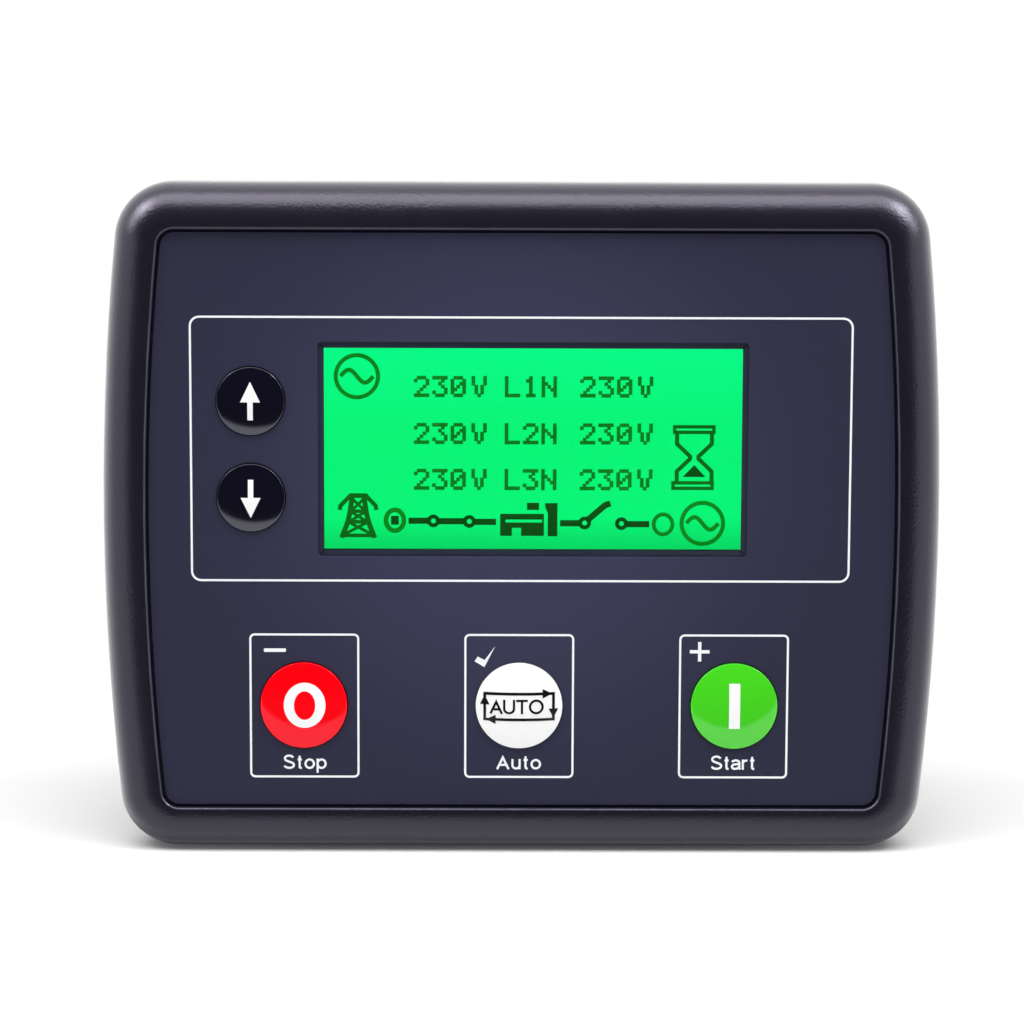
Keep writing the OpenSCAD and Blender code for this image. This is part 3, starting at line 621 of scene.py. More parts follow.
PLUG = Finish("plug_green", (0.018, 0.23, 0.055), 0.38, grain=0.25, relief=0.004, drift=0.08, polish=0.05)
HEADER = Finish("header_green", (0.014, 0.17, 0.045), 0.40, grain=0.25, relief=0.004, drift=0.08)
STEEL = Finish(
    "plated_steel", (0.46, 0.46, 0.45), 0.30, grain=0.12, relief=0.002, drift=0.10, polish=0.08,
    metallic=1.0, effect=Effect.STREAK,
)
BRASS = Finish(
    "bare_brass", (0.55, 0.40, 0.18), 0.30, grain=0.12, relief=0.002, drift=0.10, polish=0.06,
    metallic=1.0, effect=Effect.STREAK,
)
CAN = Finish("can_sleeve", (0.02, 0.02, 0.05), 0.35, grain=0.4, relief=0.002, drift=0.08)
RELAY = Finish("relay_blue", (0.02, 0.08, 0.32), 0.35, grain=0.3, relief=0.003)
CHIP = Finish("chip_black", (0.010, 0.010, 0.011), 0.50, grain=0.2, relief=0.004)
DIFFUSER = Finish("light_guide", (0.80, 0.84, 0.80), 0.40, grain=0.4, relief=0.002)
SWITCH = Finish("switch_grey", (0.30, 0.30, 0.32), 0.45, grain=0.3, relief=0.003)
BOARD = LaminateFinish("board_green", (0.006, 0.085, 0.030), 0.35, grain=0.4, relief=0.002)


# Mesh helpers


class Surface(Protocol):
    """A surface that ink is laid on."""

    def depth(self, x: float, z: float) -> float:
        """Gives the surface's y at a place."""


@dataclass(frozen=True)
class Flat:
    """A flat front.

    Attributes:
        y: Its depth.
    """

    y: float

    def depth(self, x: float, z: float) -> float:
        """Gives the front's y."""
        return self.y


@dataclass(frozen=True)
class Dome:
    """The round top of a key.

    Attributes:
        x: Middle, to the right.
        z: Middle, up.
        top: Depth of its highest point.
        radius: Radius of the round.
    """

    x: float
    z: float
    top: float
    radius: float

    def depth(self, x: float, z: float) -> float:
        """Gives the dome's y at a place."""
        out = (x - self.x) ** 2 + (z - self.z) ** 2
        return self.top + self.radius - math.sqrt(max(self.radius**2 - out, 0.0))


def show(
    bm: bmesh.types.BMesh,
    name: str,
    finish: Finish,
    body: Body,
    slot: Slot,
    stands_for: Sequence[str] = (),
    sharp: float = 40.0,
) -> bpy.types.Object:
    """Turns a finished bmesh into a piece that rides on its body.

    Args:
        bm: The mesh in the making, which is freed.
        name: Name of the piece.
        finish: Its finish.
        body: The body that it rides on.
        slot: The record's slot of its finish; not used.
        stands_for: CAD nodes that it stands for.
        sharp: Angle in degrees from which an edge is shaded as an edge.

    Returns:
        The piece.
    """
    mesh = bpy.data.meshes.new(name)
    bm.to_mesh(mesh)
    bm.free()
    mesh.materials.append(finish.material())
    mesh.shade_smooth()
    mesh.set_sharp_from_angle(angle=math.radians(sharp))
    piece = bpy.data.objects.new(name, mesh)
    bpy.context.scene.collection.objects.link(piece)
    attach(piece, body.value)
    if stands_for:
        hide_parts(*stands_for)
    log.info("%s: %d faces on %s", name, len(mesh.polygons), body.value)
    return piece


def cad_mesh(node: str, most: int = 1000) -> bmesh.types.BMesh:
    """Copies a CAD node's mesh, merged and with few lines across its flat faces.

    Args:
        node: The node.
        most: Most corners of a face, past which it is cut into triangles.

    Returns:
        The copy.
    """
    bm = bmesh.new()
    bm.from_mesh(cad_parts[node].data)
    bmesh.ops.remove_doubles(bm, verts=bm.verts, dist=0.002 * MM)
    bmesh.ops.dissolve_limit(bm, angle_limit=math.radians(0.3), verts=bm.verts, edges=bm.edges)
    bmesh.ops.triangulate(bm, faces=[face for face in bm.faces if len(face.verts) > most])
    return bm


def dress(
    node: str,
    name: str,
    finish: Finish,
    slot: Slot,
    edge: float = 0.0,
    segments: int = 2,
    most: int = 1000,
    sharp: float = 40.0,
) -> bpy.types.Object:
    """Shows a copy of one of the housing's CAD nodes, with its edges rounded.

    Args:
        node: The node.
        name: Name of the piece.
        finish: Its finish.
        slot: The record's slot of its finish.
        edge: Width of the rounding, 0 for none.
        segments: Faces across the rounding.
        most: Most corners of a face, past which it is cut into triangles.
        sharp: Angle in degrees from which an edge is rounded and shaded as an edge.

    Returns:
        The piece.
    """
    piece = show(cad_mesh(node, most), name, finish, Body.HOUSING, slot, (node,), sharp)
    if edge > 0.0:
        rounding = piece.modifiers.new("rounding", "BEVEL")
        rounding.width = edge * MM
        rounding.segments = segments
        rounding.limit_method = "ANGLE"
        rounding.angle_limit = math.radians(sharp)
        rounding.use_clamp_overlap = False
        rounding.harden_normals = True
    return piece


def turn_round(bm: bmesh.types.BMesh, section: list[object], x: float, z: float, steps: int) -> None:
    """Turns a half section full round the line through x and z.

    Args:
        bm: The mesh in the making.
        section: Corners and edges of the half section.
        x: Place of the line, to the right.
        z: Place of the line, up.
        steps: Steps round it.
    """
    bmesh.ops.spin(
        bm, geom=section, cent=(x, 0.0, z), axis=(0.0, 1.0, 0.0), dvec=(0.0, 0.0, 0.0), angle=2 * math.pi,
        steps=steps, use_merge=True, use_normal_flip=False, use_duplicate=False,
    )


def middle_of(node: str) -> Point:
    """Gives a CAD node's middle in x and z.

    Args:
        node: The node.

    Returns:
        The middle, in millimetres.
    """
    low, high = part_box(node)
    return (low.x + high.x) / 2 / MM, (low.z + high.z) / 2 / MM


def arc(x: float, z: float, half_w: float, half_h: float, start: float, end: float) -> tuple[Point, ...]:
    """Gives points along a round stretch.

    Args:
        x: Middle, to the right.
        z: Middle, up.
        half_w: Half width of the full round.
        half_h: Its half height.
        start: Angle of the first point, in degrees.
        end: Angle of the last point.

    Returns:
        The points.
    """
    steps = max(round(abs(end - start) / 12), 3)
    angles = [math.radians(start + (end - start) * i / steps) for i in range(steps + 1)]
    return tuple((x + half_w * math.cos(a), z + half_h * math.sin(a)) for a in angles)


@dataclass(frozen=True)
class Letter:
    """A plain letter in strokes, one unit from its base line to the top of a capital.

    Attributes:
        width: Its width between the middles of its outer strokes.
        strokes: Paths of its strokes, each closed where its ends meet.
    """

    width: float
    strokes: tuple[tuple[Point, ...], ...]


LETTERS = {
    "A": Letter(0.80, (((0.0, 0.0), (0.4, 0.84), (0.8, 0.0)), ((0.14, 0.31), (0.66, 0.31)))),
    "O": Letter(0.88, (arc(0.44, 0.5, 0.44, 0.44, 0, 360),)),
    "S": Letter(0.66, (arc(0.32, 0.735, 0.29, 0.2, 14, 240) + arc(0.33, 0.265, 0.33, 0.205, 60, -168),)),
    "T": Letter(0.80, (((0.0, 0.935), (0.8, 0.935)), ((0.4, 0.9), (0.4, 0.0)))),
    "U": Letter(0.68, (((0.0, 1.0),) + arc(0.34, 0.37, 0.34, 0.31, 180, 360) + ((0.68, 1.0),),)),
    "a": Letter(0.54, (
        arc(0.27, 0.5, 0.255, 0.165, 165, 0) + ((0.525, 0.14), (0.58, 0.02)),
        ((0.525, 0.415),) + arc(0.215, 0.22, 0.205, 0.16, 80, 270) + ((0.39, 0.085), (0.525, 0.23)),
    )),
    "o": Letter(0.59, (arc(0.295, 0.36, 0.295, 0.3, 0, 360),)),
    "p": Letter(0.56, (((0.0, 0.725), (0.0, -0.28)), arc(0.28, 0.36, 0.28, 0.3, 0, 360))),
    "r": Letter(0.28, (((0.0, 0.725), (0.0, 0.0)), arc(0.24, 0.42, 0.24, 0.235, 180, 72))),
    "t": Letter(0.29, (
        ((0.14, 0.92),) + arc(0.23, 0.16, 0.09, 0.1, 180, 270) + ((0.29, 0.065),),
        ((0.0, 0.66), (0.29, 0.66)),
    )),
    "u": Letter(0.50, (
        ((0.0, 0.725),) + arc(0.25, 0.28, 0.25, 0.225, 180, 360) + ((0.5, 0.725),),
        ((0.5, 0.3), (0.5, 0.0)),
    )),
}


@dataclass
class Drawing:
    """Flat shapes drawn in millimetres across and up, before they are laid on a surface."""

    bm: bmesh.types.BMesh = field(default_factory=bmesh.new)

    def plate(
        self, x: float, z: float, w: float, h: float, r: float = 0.0, cuts: tuple[int, int] = (1, 1)
    ) -> list[bmesh.types.BMFace]:
        """Draws a filled rectangle.

        Args:
            x: Middle, to the right.
            z: Middle, up.
            w: Width.
            h: Height.
            r: Corner radius.
            cuts: Faces across and up.

        Returns:
            Its faces.
        """
        before = set(self.bm.faces)
        place = Matrix.Translation((x, z, 0.0)) @ Matrix.Diagonal((w, h, 1.0, 1.0))
        across, up = cuts
        made = bmesh.ops.create_grid(self.bm, x_segments=across, y_segments=up, size=0.5, matrix=place)
        if r > 0.0:
            bmesh.ops.bevel(
                self.bm, geom=made["verts"], offset=r, offset_type="OFFSET", segments=6, profile=0.5,
                affect="VERTICES", material=-1,
            )
        return [face for face in self.bm.faces if face not in before]

    def outline(self, x: float, z: float, w: float, h: float, r: float, line: float) -> None:
        """Draws the line round a rectangle, inside its size.

        Args:
            x: Middle, to the right.
            z: Middle, up.
            w: Width.
            h: Height.
            r: Corner radius.
            line: Width of the line.
        """
        faces = self.plate(x, z, w, h, r)
        bmesh.ops.inset_region(
            self.bm, faces=faces, thickness=line, use_even_offset=True, use_boundary=True
        )
        bmesh.ops.delete(self.bm, geom=faces, context="FACES")

    def ring(self, x: float, z: float, outer: Point, inner: Point, steps: int = 64) -> None:
        """Draws a ring.

        Args:
            x: Middle, to the right.
            z: Middle, up.
            outer: Outer half width and half height.
            inner: Inner half width and half height.
            steps: Steps round it.
        """
        edges: set[bmesh.types.BMEdge] = set()
        for half_w, half_h in (outer, inner):
            place = Matrix.Translation((x, z, 0.0)) @ Matrix.Diagonal((half_w, half_h, 1.0, 1.0))
            made = bmesh.ops.create_circle(self.bm, segments=steps, radius=1.0, matrix=place)
            edges.update(edge for vert in made["verts"] for edge in vert.link_edges)
        bmesh.ops.bridge_loops(self.bm, edges=list(edges))

    def patch(self, points: Sequence[Point], cuts: int = 0) -> None:
        """Draws a filled shape with a few corners.

        Args:
            points: Its corners in order.
            cuts: Cuts in each edge, for a shape with three or four corners.
        """
        face = self.bm.faces.new([self.bm.verts.new((x, z, 0.0)) for x, z in points])
        if cuts:
            bmesh.ops.subdivide_edges(self.bm, edges=face.edges[:], cuts=cuts, use_grid_fill=True)

    def stroke(
        self, points: Sequence[Point], width: float, closed: bool = False, lift: float = 0.0
    ) -> None:
        """Draws a line of even width by extruding one short edge along a path.

        Args:
            points: The path.
            width: Width of the line.
            closed: Whether the path comes back to its start.
            lift: Its height over the drawing, so that strokes which cross never share a face.
        """
        path = [Vector(point) for point in points]
        count = len(path)
        sides = []
        for i, here in enumerate(path):
            back = path[i - 1] if i or closed else None
            ahead = path[(i + 1) % count] if i < count - 1 or closed else None
            arrive = (here - back).normalized() if back is not None else None
            leave = (ahead - here).normalized() if ahead is not None else None
            arrive, leave = arrive or leave, leave or arrive
            along = (arrive + leave).normalized()
            across = Vector((-along.y, along.x)) * (width / 2 / max(along.dot(leave), 0.4))
            sides.append((here + across, here - across))
        if closed:
            sides.append(sides[0])
        verts = [self.bm.verts.new((*side, lift)) for side in sides[0]]
        edge = self.bm.edges.new(verts)
        for pair in sides[1:]:
            grown = bmesh.ops.extrude_edge_only(self.bm, edges=[edge])["geom"]
            edge = next(part for part in grown if isinstance(part, bmesh.types.BMEdge))
            for old, side in zip(verts, pair):
                new = next(v for e in old.link_edges for v in [e.other_vert(old)] if v in edge.verts)
                new.co = (*side, lift)
                verts[verts.index(old)] = new

    def word(self, text: str, left: float, right: float, base: float, cap: float, weight: float) -> None:
        """Draws a word, its letters spread evenly between two ends.

        Args:
            text: The word.
            left: Where it starts.
            right: Where it ends.
            base: Height of its base line.
            cap: Height of its capitals.
            weight: Width of its strokes.
        """
        letters = [LETTERS[letter] for letter in text]
        room = right - left - weight - sum(letter.width for letter in letters) * cap
        x = left + weight / 2
        for letter in letters:
            for number, stroke in enumerate(letter.strokes):
                closed = math.dist(stroke[0], stroke[-1]) < 0.001
                path = stroke[:-1] if closed else stroke
                points = [(x + across * cap, base + up * cap) for across, up in path]
                self.stroke(points, weight, closed, LIFT * number)
            x += letter.width * cap + room / (len(letters) - 1)

    def lay(
        self, name: str, surface: Surface, finish: Finish, body: Body, slot: Slot, proud: float = 0.03,
        sink: float = 0.01,
    ) -> bpy.types.Object:
        """Lays the drawing on a surface as a thin closed skin.

        Args:
            name: Name of the piece.
            surface: The surface.
            finish: Finish of the ink.
            body: The body that carries it.
            slot: The record's slot of that finish.
            proud: How far it stands out of the surface.
            sink: How far it goes into the surface.

        Returns:
            The piece.
        """
        bm = self.bm
        bmesh.ops.delete(bm, geom=[v for v in bm.verts if not v.link_faces], context="VERTS")
        bm.normal_update()
        bmesh.ops.reverse_faces(bm, faces=[face for face in bm.faces if face.normal.z < 0.0])
        base = bm.verts[:]
        grown = bmesh.ops.extrude_face_region(bm, geom=bm.faces[:])["geom"]
        tops = [part for part in grown if isinstance(part, bmesh.types.BMVert)]
        bmesh.ops.translate(bm, vec=(0.0, 0.0, proud), verts=tops)
        raised = set(tops)
        backs = [v for v in base if v.is_valid and v not in raised]
        bmesh.ops.translate(bm, vec=(0.0, 0.0, -sink), verts=backs)
        bmesh.ops.recalc_face_normals(bm, faces=bm.faces)
        for vert in bm.verts:
            x, z, out = vert.co
            vert.co = Vector((x, surface.depth(x, z) - out, z)) * MM
        return show(bm, name, finish, body, slot)


# Sub-assemblies


@dataclass
class Bezel:
    """The moulded rim.

    Attributes:
        smooth: Angle in degrees up to which its facets are shaded as one curve.
    """

    smooth: float = 50.0

    def build(self) -> None:
        """Shows the rim with smooth curves."""
        dress("bezel", "bezel_moulding", RIM, Slot.RIM, sharp=self.smooth)


@dataclass
class Fascia:
    """The printed film in the rim's recess.

    Attributes:
        frame_line: Middle, size and corner radius of the line round the screen and scroll keys.
        cell_size: Size and corner radius of the line round each large key.
        cell_z: Middle of those lines.
        cell_share: Their distance from the middle as a share of the keys' own.
        line: Width of the lines.
        minus: Left end, right end and height of the minus sign.
        plus: Middle of the plus sign.
        plus_size: Its size.
        plus_line: Width of its strokes.
        sign_line: Width of the minus sign.
        tick: Corners of the tick.
        captions: Each caption with its left and right end.
        base: Base line of the captions.
        cap: Height of their capitals.
        weight: Width of their strokes.
        edge: Rounding of the film's edges.
    """

    frame_line: tuple[float, float, float, float, float] = (-0.2, 12.08, 109.65, 44.3, 1.7)
    cell_size: tuple[float, float, float] = (18.35, 24.53, 0.9)
    cell_z: float = -31.13
    cell_share: float = 0.997
    line: float = 0.35
    minus: tuple[float, float, float] = (-43.0, -39.3, -21.7)
    plus: Point = (29.8, -21.8)
    plus_size: float = 3.3
    plus_line: float = 0.56
    sign_line: float = 0.6
    tick: tuple[Point, ...] = (
        (-7.81, -23.5), (-7.29, -22.7), (-6.13, -23.3), (-4.38, -20.97), (-6.17, -24.5),
    )
    captions: tuple[tuple[str, float, float], ...] = (
        ("Stop", -39.83, -32.58), ("Auto", -4.17, 3.38), ("Start", 31.86, 39.35),
    )
    base: float = -41.9
    cap: float = 2.4
    weight: float = 0.36
    edge: float = 0.06

    def build(self) -> None:
        """Builds the film and its print."""
        dress("fascia_film", "fascia_sheet", FILM, Slot.FILM, self.edge, 1)
        front = Flat(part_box("fascia_film")[0].y / MM)
        for name, drawing in (
            ("print_frames", self._frames()),
            ("print_signs", self._signs()),
            ("print_captions", self._words()),
        ):
            drawing.lay(name, front, INK, Body.HOUSING, Slot.FILM)

    def _frames(self) -> Drawing:
        """Draws the lines round the screen and the keys."""
        drawing = Drawing()
        drawing.outline(*self.frame_line, self.line)
        for key in ("stop_key", "auto_key", "start_key"):
            drawing.outline(middle_of(key)[0] * self.cell_share, self.cell_z, *self.cell_size, self.line)
        return drawing

    def _signs(self) -> Drawing:
        """Draws the minus, the tick and the plus.

        Returns:
            The drawing.
        """
        drawing = Drawing()
        left, right, z = self.minus
        drawing.plate((left + right) / 2, z, right - left, self.sign_line, self.sign_line * 0.3)
        drawing.patch(self.tick)
        x, z = self.plus
        half = self.plus_size / 2
        arm = self.plus_line / 2
        side = half - arm
        drawing.plate(x, z, self.plus_size, self.plus_line)
        for way in (-1.0, 1.0):
            drawing.plate(x, z + way * (arm + side / 2), self.plus_line, side)
        return drawing

    def _words(self) -> Drawing:
        """Draws the captions under the keys."""
        drawing = Drawing()
        for text, left, right in self.captions:
            drawing.word(text, left, right, self.base, self.cap, self.weight)
        return drawing


@dataclass
class Screen:
    """The backlit screen behind its clear window.

    Attributes:
        dot: Pitch of the figures' dots, which are a quarter wider and run together.
        advance: Distance from one figure to the next.
        unit_space: Extra space in front of the unit.
        rows: Middle heights of the three rows of figures.
        columns: Left ends of the three columns.
        thin: Width of the thin lines.
        bold: Width of the bold lines.
        shade_band: Width of the dark band laid on the window round the lit glass, painted shade in the
            colour of the shaded recess there.
        lap: Width of the window's edge behind the film.
        frame_edge: Rounding of the frame's edges.
        hourglass: Middle of the hourglass.
        bulb: One side of its upper half, from that middle.
        tower: Middle of the lattice tower.
        arm: One of its arms, from that middle.
        leg: One of its legs.
        braces: Ends of its braces.
        rungs: Height and half length of its rungs.
        waves: Middle and radius of each wave sign.
        wave: Half length and half height of a wave, as shares of that radius.
        lamps: Middle, outer and inner half sizes of each lamp sign.
        joints: Middles of the round joints on the bold line.
        joint: Outer and inner radius of a joint.
        runs: Left end, right end and height of that line's runs.
        switch: The line's open switch.
        plates: Middle and size of the filled plates of the lamp and the engine.
        shapes: Corners of the sand, the engine and its end plate.
        glyphs: Dots of each letter.
    """

    dot: float = 0.487
    advance: float = 3.05
    unit_space: float = 0.42
    rows: tuple[float, float, float] = (22.32, 14.47, 6.78)
    columns: tuple[float, float, float] = (-18.0, -2.9, 9.63)
    thin: float = 0.68
    bold: float = 1.04
    shade_band: float = 1.08
    lap: float = 1.75
    frame_edge: float = 0.1
    hourglass: Point = (28.7, 10.55)
    bulb: tuple[Point, ...] = ((-2.9, 3.95), (-2.9, 2.3), (-0.7, 0.2), (-0.7, 0.0))
    tower: Point = (-27.3, 0.5)
    arm: tuple[Point, ...] = ((1.3, 3.5), (2.95, 1.8), (3.05, 1.1))
    leg: tuple[Point, ...] = ((1.0, 3.2), (1.35, 0.7), (1.75, -1.0), (2.75, -3.6))
    braces: tuple[tuple[float, float, float, float], ...] = (
        (0.9, 2.9, 1.1, 1.0), (1.2, 0.8, 1.5, -0.9), (1.5, -1.0, 2.3, -3.0),
    )
    rungs: tuple[Point, ...] = ((0.9, 0.9), (-0.9, 1.3), (-3.2, 2.4))
    waves: tuple[tuple[float, float, float], ...] = ((-27.45, 24.0, 3.85), (30.16, -0.51, 3.8))
    wave: Point = (0.7, 0.28)
    lamps: tuple[tuple[float, float, Point, Point], ...] = (
        (-21.16, -0.13, (1.88, 2.14), (1.1, 1.36)), (23.6, -0.7, (1.88, 2.0), (1.24, 1.36)),
    )
    joints: tuple[Point, ...] = ((-14.74, -0.22), (-8.75, -0.3), (10.5, -0.5), (16.65, -0.6))
    joint: Point = (1.08, 0.42)
    runs: tuple[tuple[float, float, float], ...] = (
        (-18.9, -15.5, -0.2), (-13.98, -9.52, -0.26), (-7.98, -4.3, -0.36), (6.4, 9.74, -0.55),
        (17.4, 21.3, -0.68),
    )
    switch: tuple[Point, ...] = ((11.0, 0.0), (13.9, 2.5), (14.8, 2.8))
    plates: tuple[tuple[float, float, float, float], ...] = (
        (-21.16, -0.13, 1.3, 1.5), (0.05, 0.53, 7.3, 0.96), (-3.15, -0.2, 0.9, 0.5), (3.55, -0.2, 0.3, 0.5),
        (1.87, 2.28, 2.0, 1.2),
    )
    shapes: tuple[tuple[Point, ...], ...] = (
        ((26.8, 7.3), (30.6, 7.3), (28.7, 9.3)),
        (
            (-3.6, -2.7), (-3.6, -0.45), (3.7, -0.45), (3.7, -2.7),
            (-0.1, -2.7), (-0.1, -1.35), (-1.65, -1.35), (-1.65, -2.7),
        ),
        ((4.35, -2.75), (5.95, -2.75), (5.95, 2.85), (3.85, 2.8), (3.95, 2.0), (4.35, 1.2)),
    )
    glyphs: ClassVar[dict[str, tuple[str, ...]]] = {
        "0": (".###.", "#...#", "#..##", "#.#.#", "##..#", "#...#", ".###."),
        "1": ("..#..", ".##..", "..#..", "..#..", "..#..", "..#..", ".###."),
        "2": (".###.", "#...#", "....#", "...#.", "..#..", ".#...", "#####"),
        "3": ("#####", "...#.", "..#..", "...#.", "....#", "#...#", ".###."),
        "L": ("#....", "#....", "#....", "#....", "#....", "#....", "#####"),
        "N": ("#...#", "#...#", "##..#", "#.#.#", "#..##", "#...#", "#...#"),
        "V": ("#...#", "#...#", "#...#", ".#.#.", ".#.#.", ".#.#.", "..#.."),
    }

    def build(self) -> None:
        """Builds the window, the frame, the lit glass and what it shows."""
        dress("display_window", "screen_window", ACRYLIC, Slot.WINDOW)
        dress("display_frame", "screen_frame", FRAME_BLACK, Slot.FRAME, self.frame_edge)
        dress("display_glass", "screen_lit_glass", GLOW, Slot.SCREEN)
        self._shade_band_ring()
        glass = Flat(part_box("display_glass")[0].y / MM)
        for name, drawing, ink in (
            ("screen_figures", self._figures(), TEXT_INK),
            ("screen_outlines", self._outlines(), OUTLINE_INK),
            ("screen_signs", self._signs(), ICON_INK),
            ("screen_blocks", self._blocks(), DEEP_INK),
        ):
            drawing.lay(name, glass, ink, Body.HOUSING, Slot.SCREEN, proud=0.03, sink=0.02)

    def _shade_band_ring(self) -> None:
        """Lays the dark band on the window's front: painted shade in the colour of the shaded recess round
        the lit glass.
        """
        low, high = (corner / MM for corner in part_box("display_window"))
        middle, size = (low + high) / 2, high - low
        drawing = Drawing()
        lap = 2 * self.lap
        drawing.outline(middle.x, middle.z, size.x - lap, size.z - lap, 0.8, self.shade_band)
        front = Flat(low.y)
        drawing.lay("screen_shade_band", front, SHADE_BAND_INK, Body.HOUSING, Slot.WINDOW, proud=0.01, sink=0.005)

    def _figures(self) -> Drawing:
        """Draws the three rows of figures in dots.

        Returns:
            The drawing.
        """
        drawing = Drawing()
        for number, z in enumerate(self.rows, 1):
            for text, left in zip(("230V", f"L{number}N", "230V"), self.columns):
                for place, letter in enumerate(text):
                    space = self.unit_space if letter == "V" else 0.0
                    self._dots(drawing, self.glyphs[letter], left + self.advance * place + space, z)
        bmesh.ops.dissolve_limit(
            drawing.bm, angle_limit=math.radians(1.0), verts=drawing.bm.verts, edges=drawing.bm.edges
        )
        return drawing

    def _dots(self, drawing: Drawing, glyph: Sequence[str], left: float, z: float) -> None:
        """Draws one letter in dots, each five quarters of the pitch wide.

        Args:
            drawing: The drawing.
            glyph: Rows of the letter's dots.
            left: Its left end.
            z: Its middle height.
        """
        inked = {
            (4 * across + i, 4 * down + j)
            for down, row in enumerate(reversed(glyph))
            for across, mark in enumerate(row)
            if mark == "#"
            for i in range(5)
            for j in range(5)
        }
        step = self.dot / 4
        wide, tall = 4 * len(glyph[0]) + 1, 4 * len(glyph) + 1
        cells = drawing.plate(left + wide * step / 2, z, wide * step, tall * step, cuts=(wide, tall))
        low = z - tall * step / 2
        bare = []
        for cell in cells:
            at = cell.calc_center_median()
            if (int((at.x - left) / step), int((at.y - low) / step)) not in inked:
                bare.append(cell)
        bmesh.ops.delete(drawing.bm, geom=bare, context="FACES")

    def _wave_sign(self, drawing: Drawing, x: float, z: float, r: float) -> None:
        """Draws a wave in a circle.

        Args:
            drawing: The drawing.
            x: Middle, to the right.
            z: Middle, up.
            r: Radius of the circle.
        """
        drawing.ring(x, z, (r, r), (r - self.thin, r - self.thin))
        long, high = (r * share for share in self.wave)
        steps = [i / 14 for i in range(15)]
        wave = [(x + long * (2 * t - 1), z + high * math.sin(2 * math.pi * t)) for t in steps]
        drawing.stroke(wave, self.thin)

    def _outlines(self) -> Drawing:
        """Draws the hourglass and the lattice tower.

        Returns:
            The drawing.
        """
        drawing = Drawing()
        self._pylon(drawing)
        x, z = self.hourglass
        for way in (-1.0, 1.0):
            drawing.outline(x - 0.15 + way * 0.1, z + way * 4.7, 7.1, 1.5, 0.0, self.thin * 0.85)
            for side in (-1.0, 1.0):
                glass = [(x + side * a, z + way * b) for a, b in self.bulb]
                drawing.stroke(glass, self.thin, lift=LIFT)
        return drawing

    def _pylon(self, drawing: Drawing) -> None:
        """Draws the lattice tower, its strokes one above the other."""
        x, z = self.tower
        drawing.plate(x, z + 3.5, 3.2, 0.8, 0.2)
        for side in (-1.0, 1.0):
            strokes = [(self.arm, 0.7, side), (self.leg, 0.85, side)]
            strokes += [(((side * a, b), (-side * c, d)), 0.5, 1.0) for a, b, c, d in self.braces]
            for number, (path, wide, way) in enumerate(strokes, 1):
                points = [(x + way * a, z + b) for a, b in path]
                drawing.stroke(points, wide, lift=LIFT * (number + side))
        for height, half in self.rungs:
            drawing.stroke([(x - half, z + height), (x + half, z + height)], 0.6, lift=0.03)

    def _signs(self) -> Drawing:
        """Draws the signs in thin lines.

        Returns:
            The drawing.
        """
        drawing = Drawing()
        for place in self.waves:
            self._wave_sign(drawing, *place)
        for lamp in self.lamps:
            drawing.ring(*lamp)
        return drawing

    def _blocks(self) -> Drawing:
        """Draws the filled signs and the bold lines.

        Returns:
            The drawing.
        """
        drawing = Drawing()
        outer, inner = self.joint
        for x, z in self.joints:
            drawing.ring(x, z, (outer, outer), (inner, inner), 24)
        for left, right, z in self.runs:
            drawing.plate((left + right) / 2, z, right - left, self.bold)
        drawing.stroke(self.switch, self.bold)
        for plate in self.plates:
            drawing.plate(*plate)
        for corners in self.shapes:
            drawing.patch(corners)
        return drawing


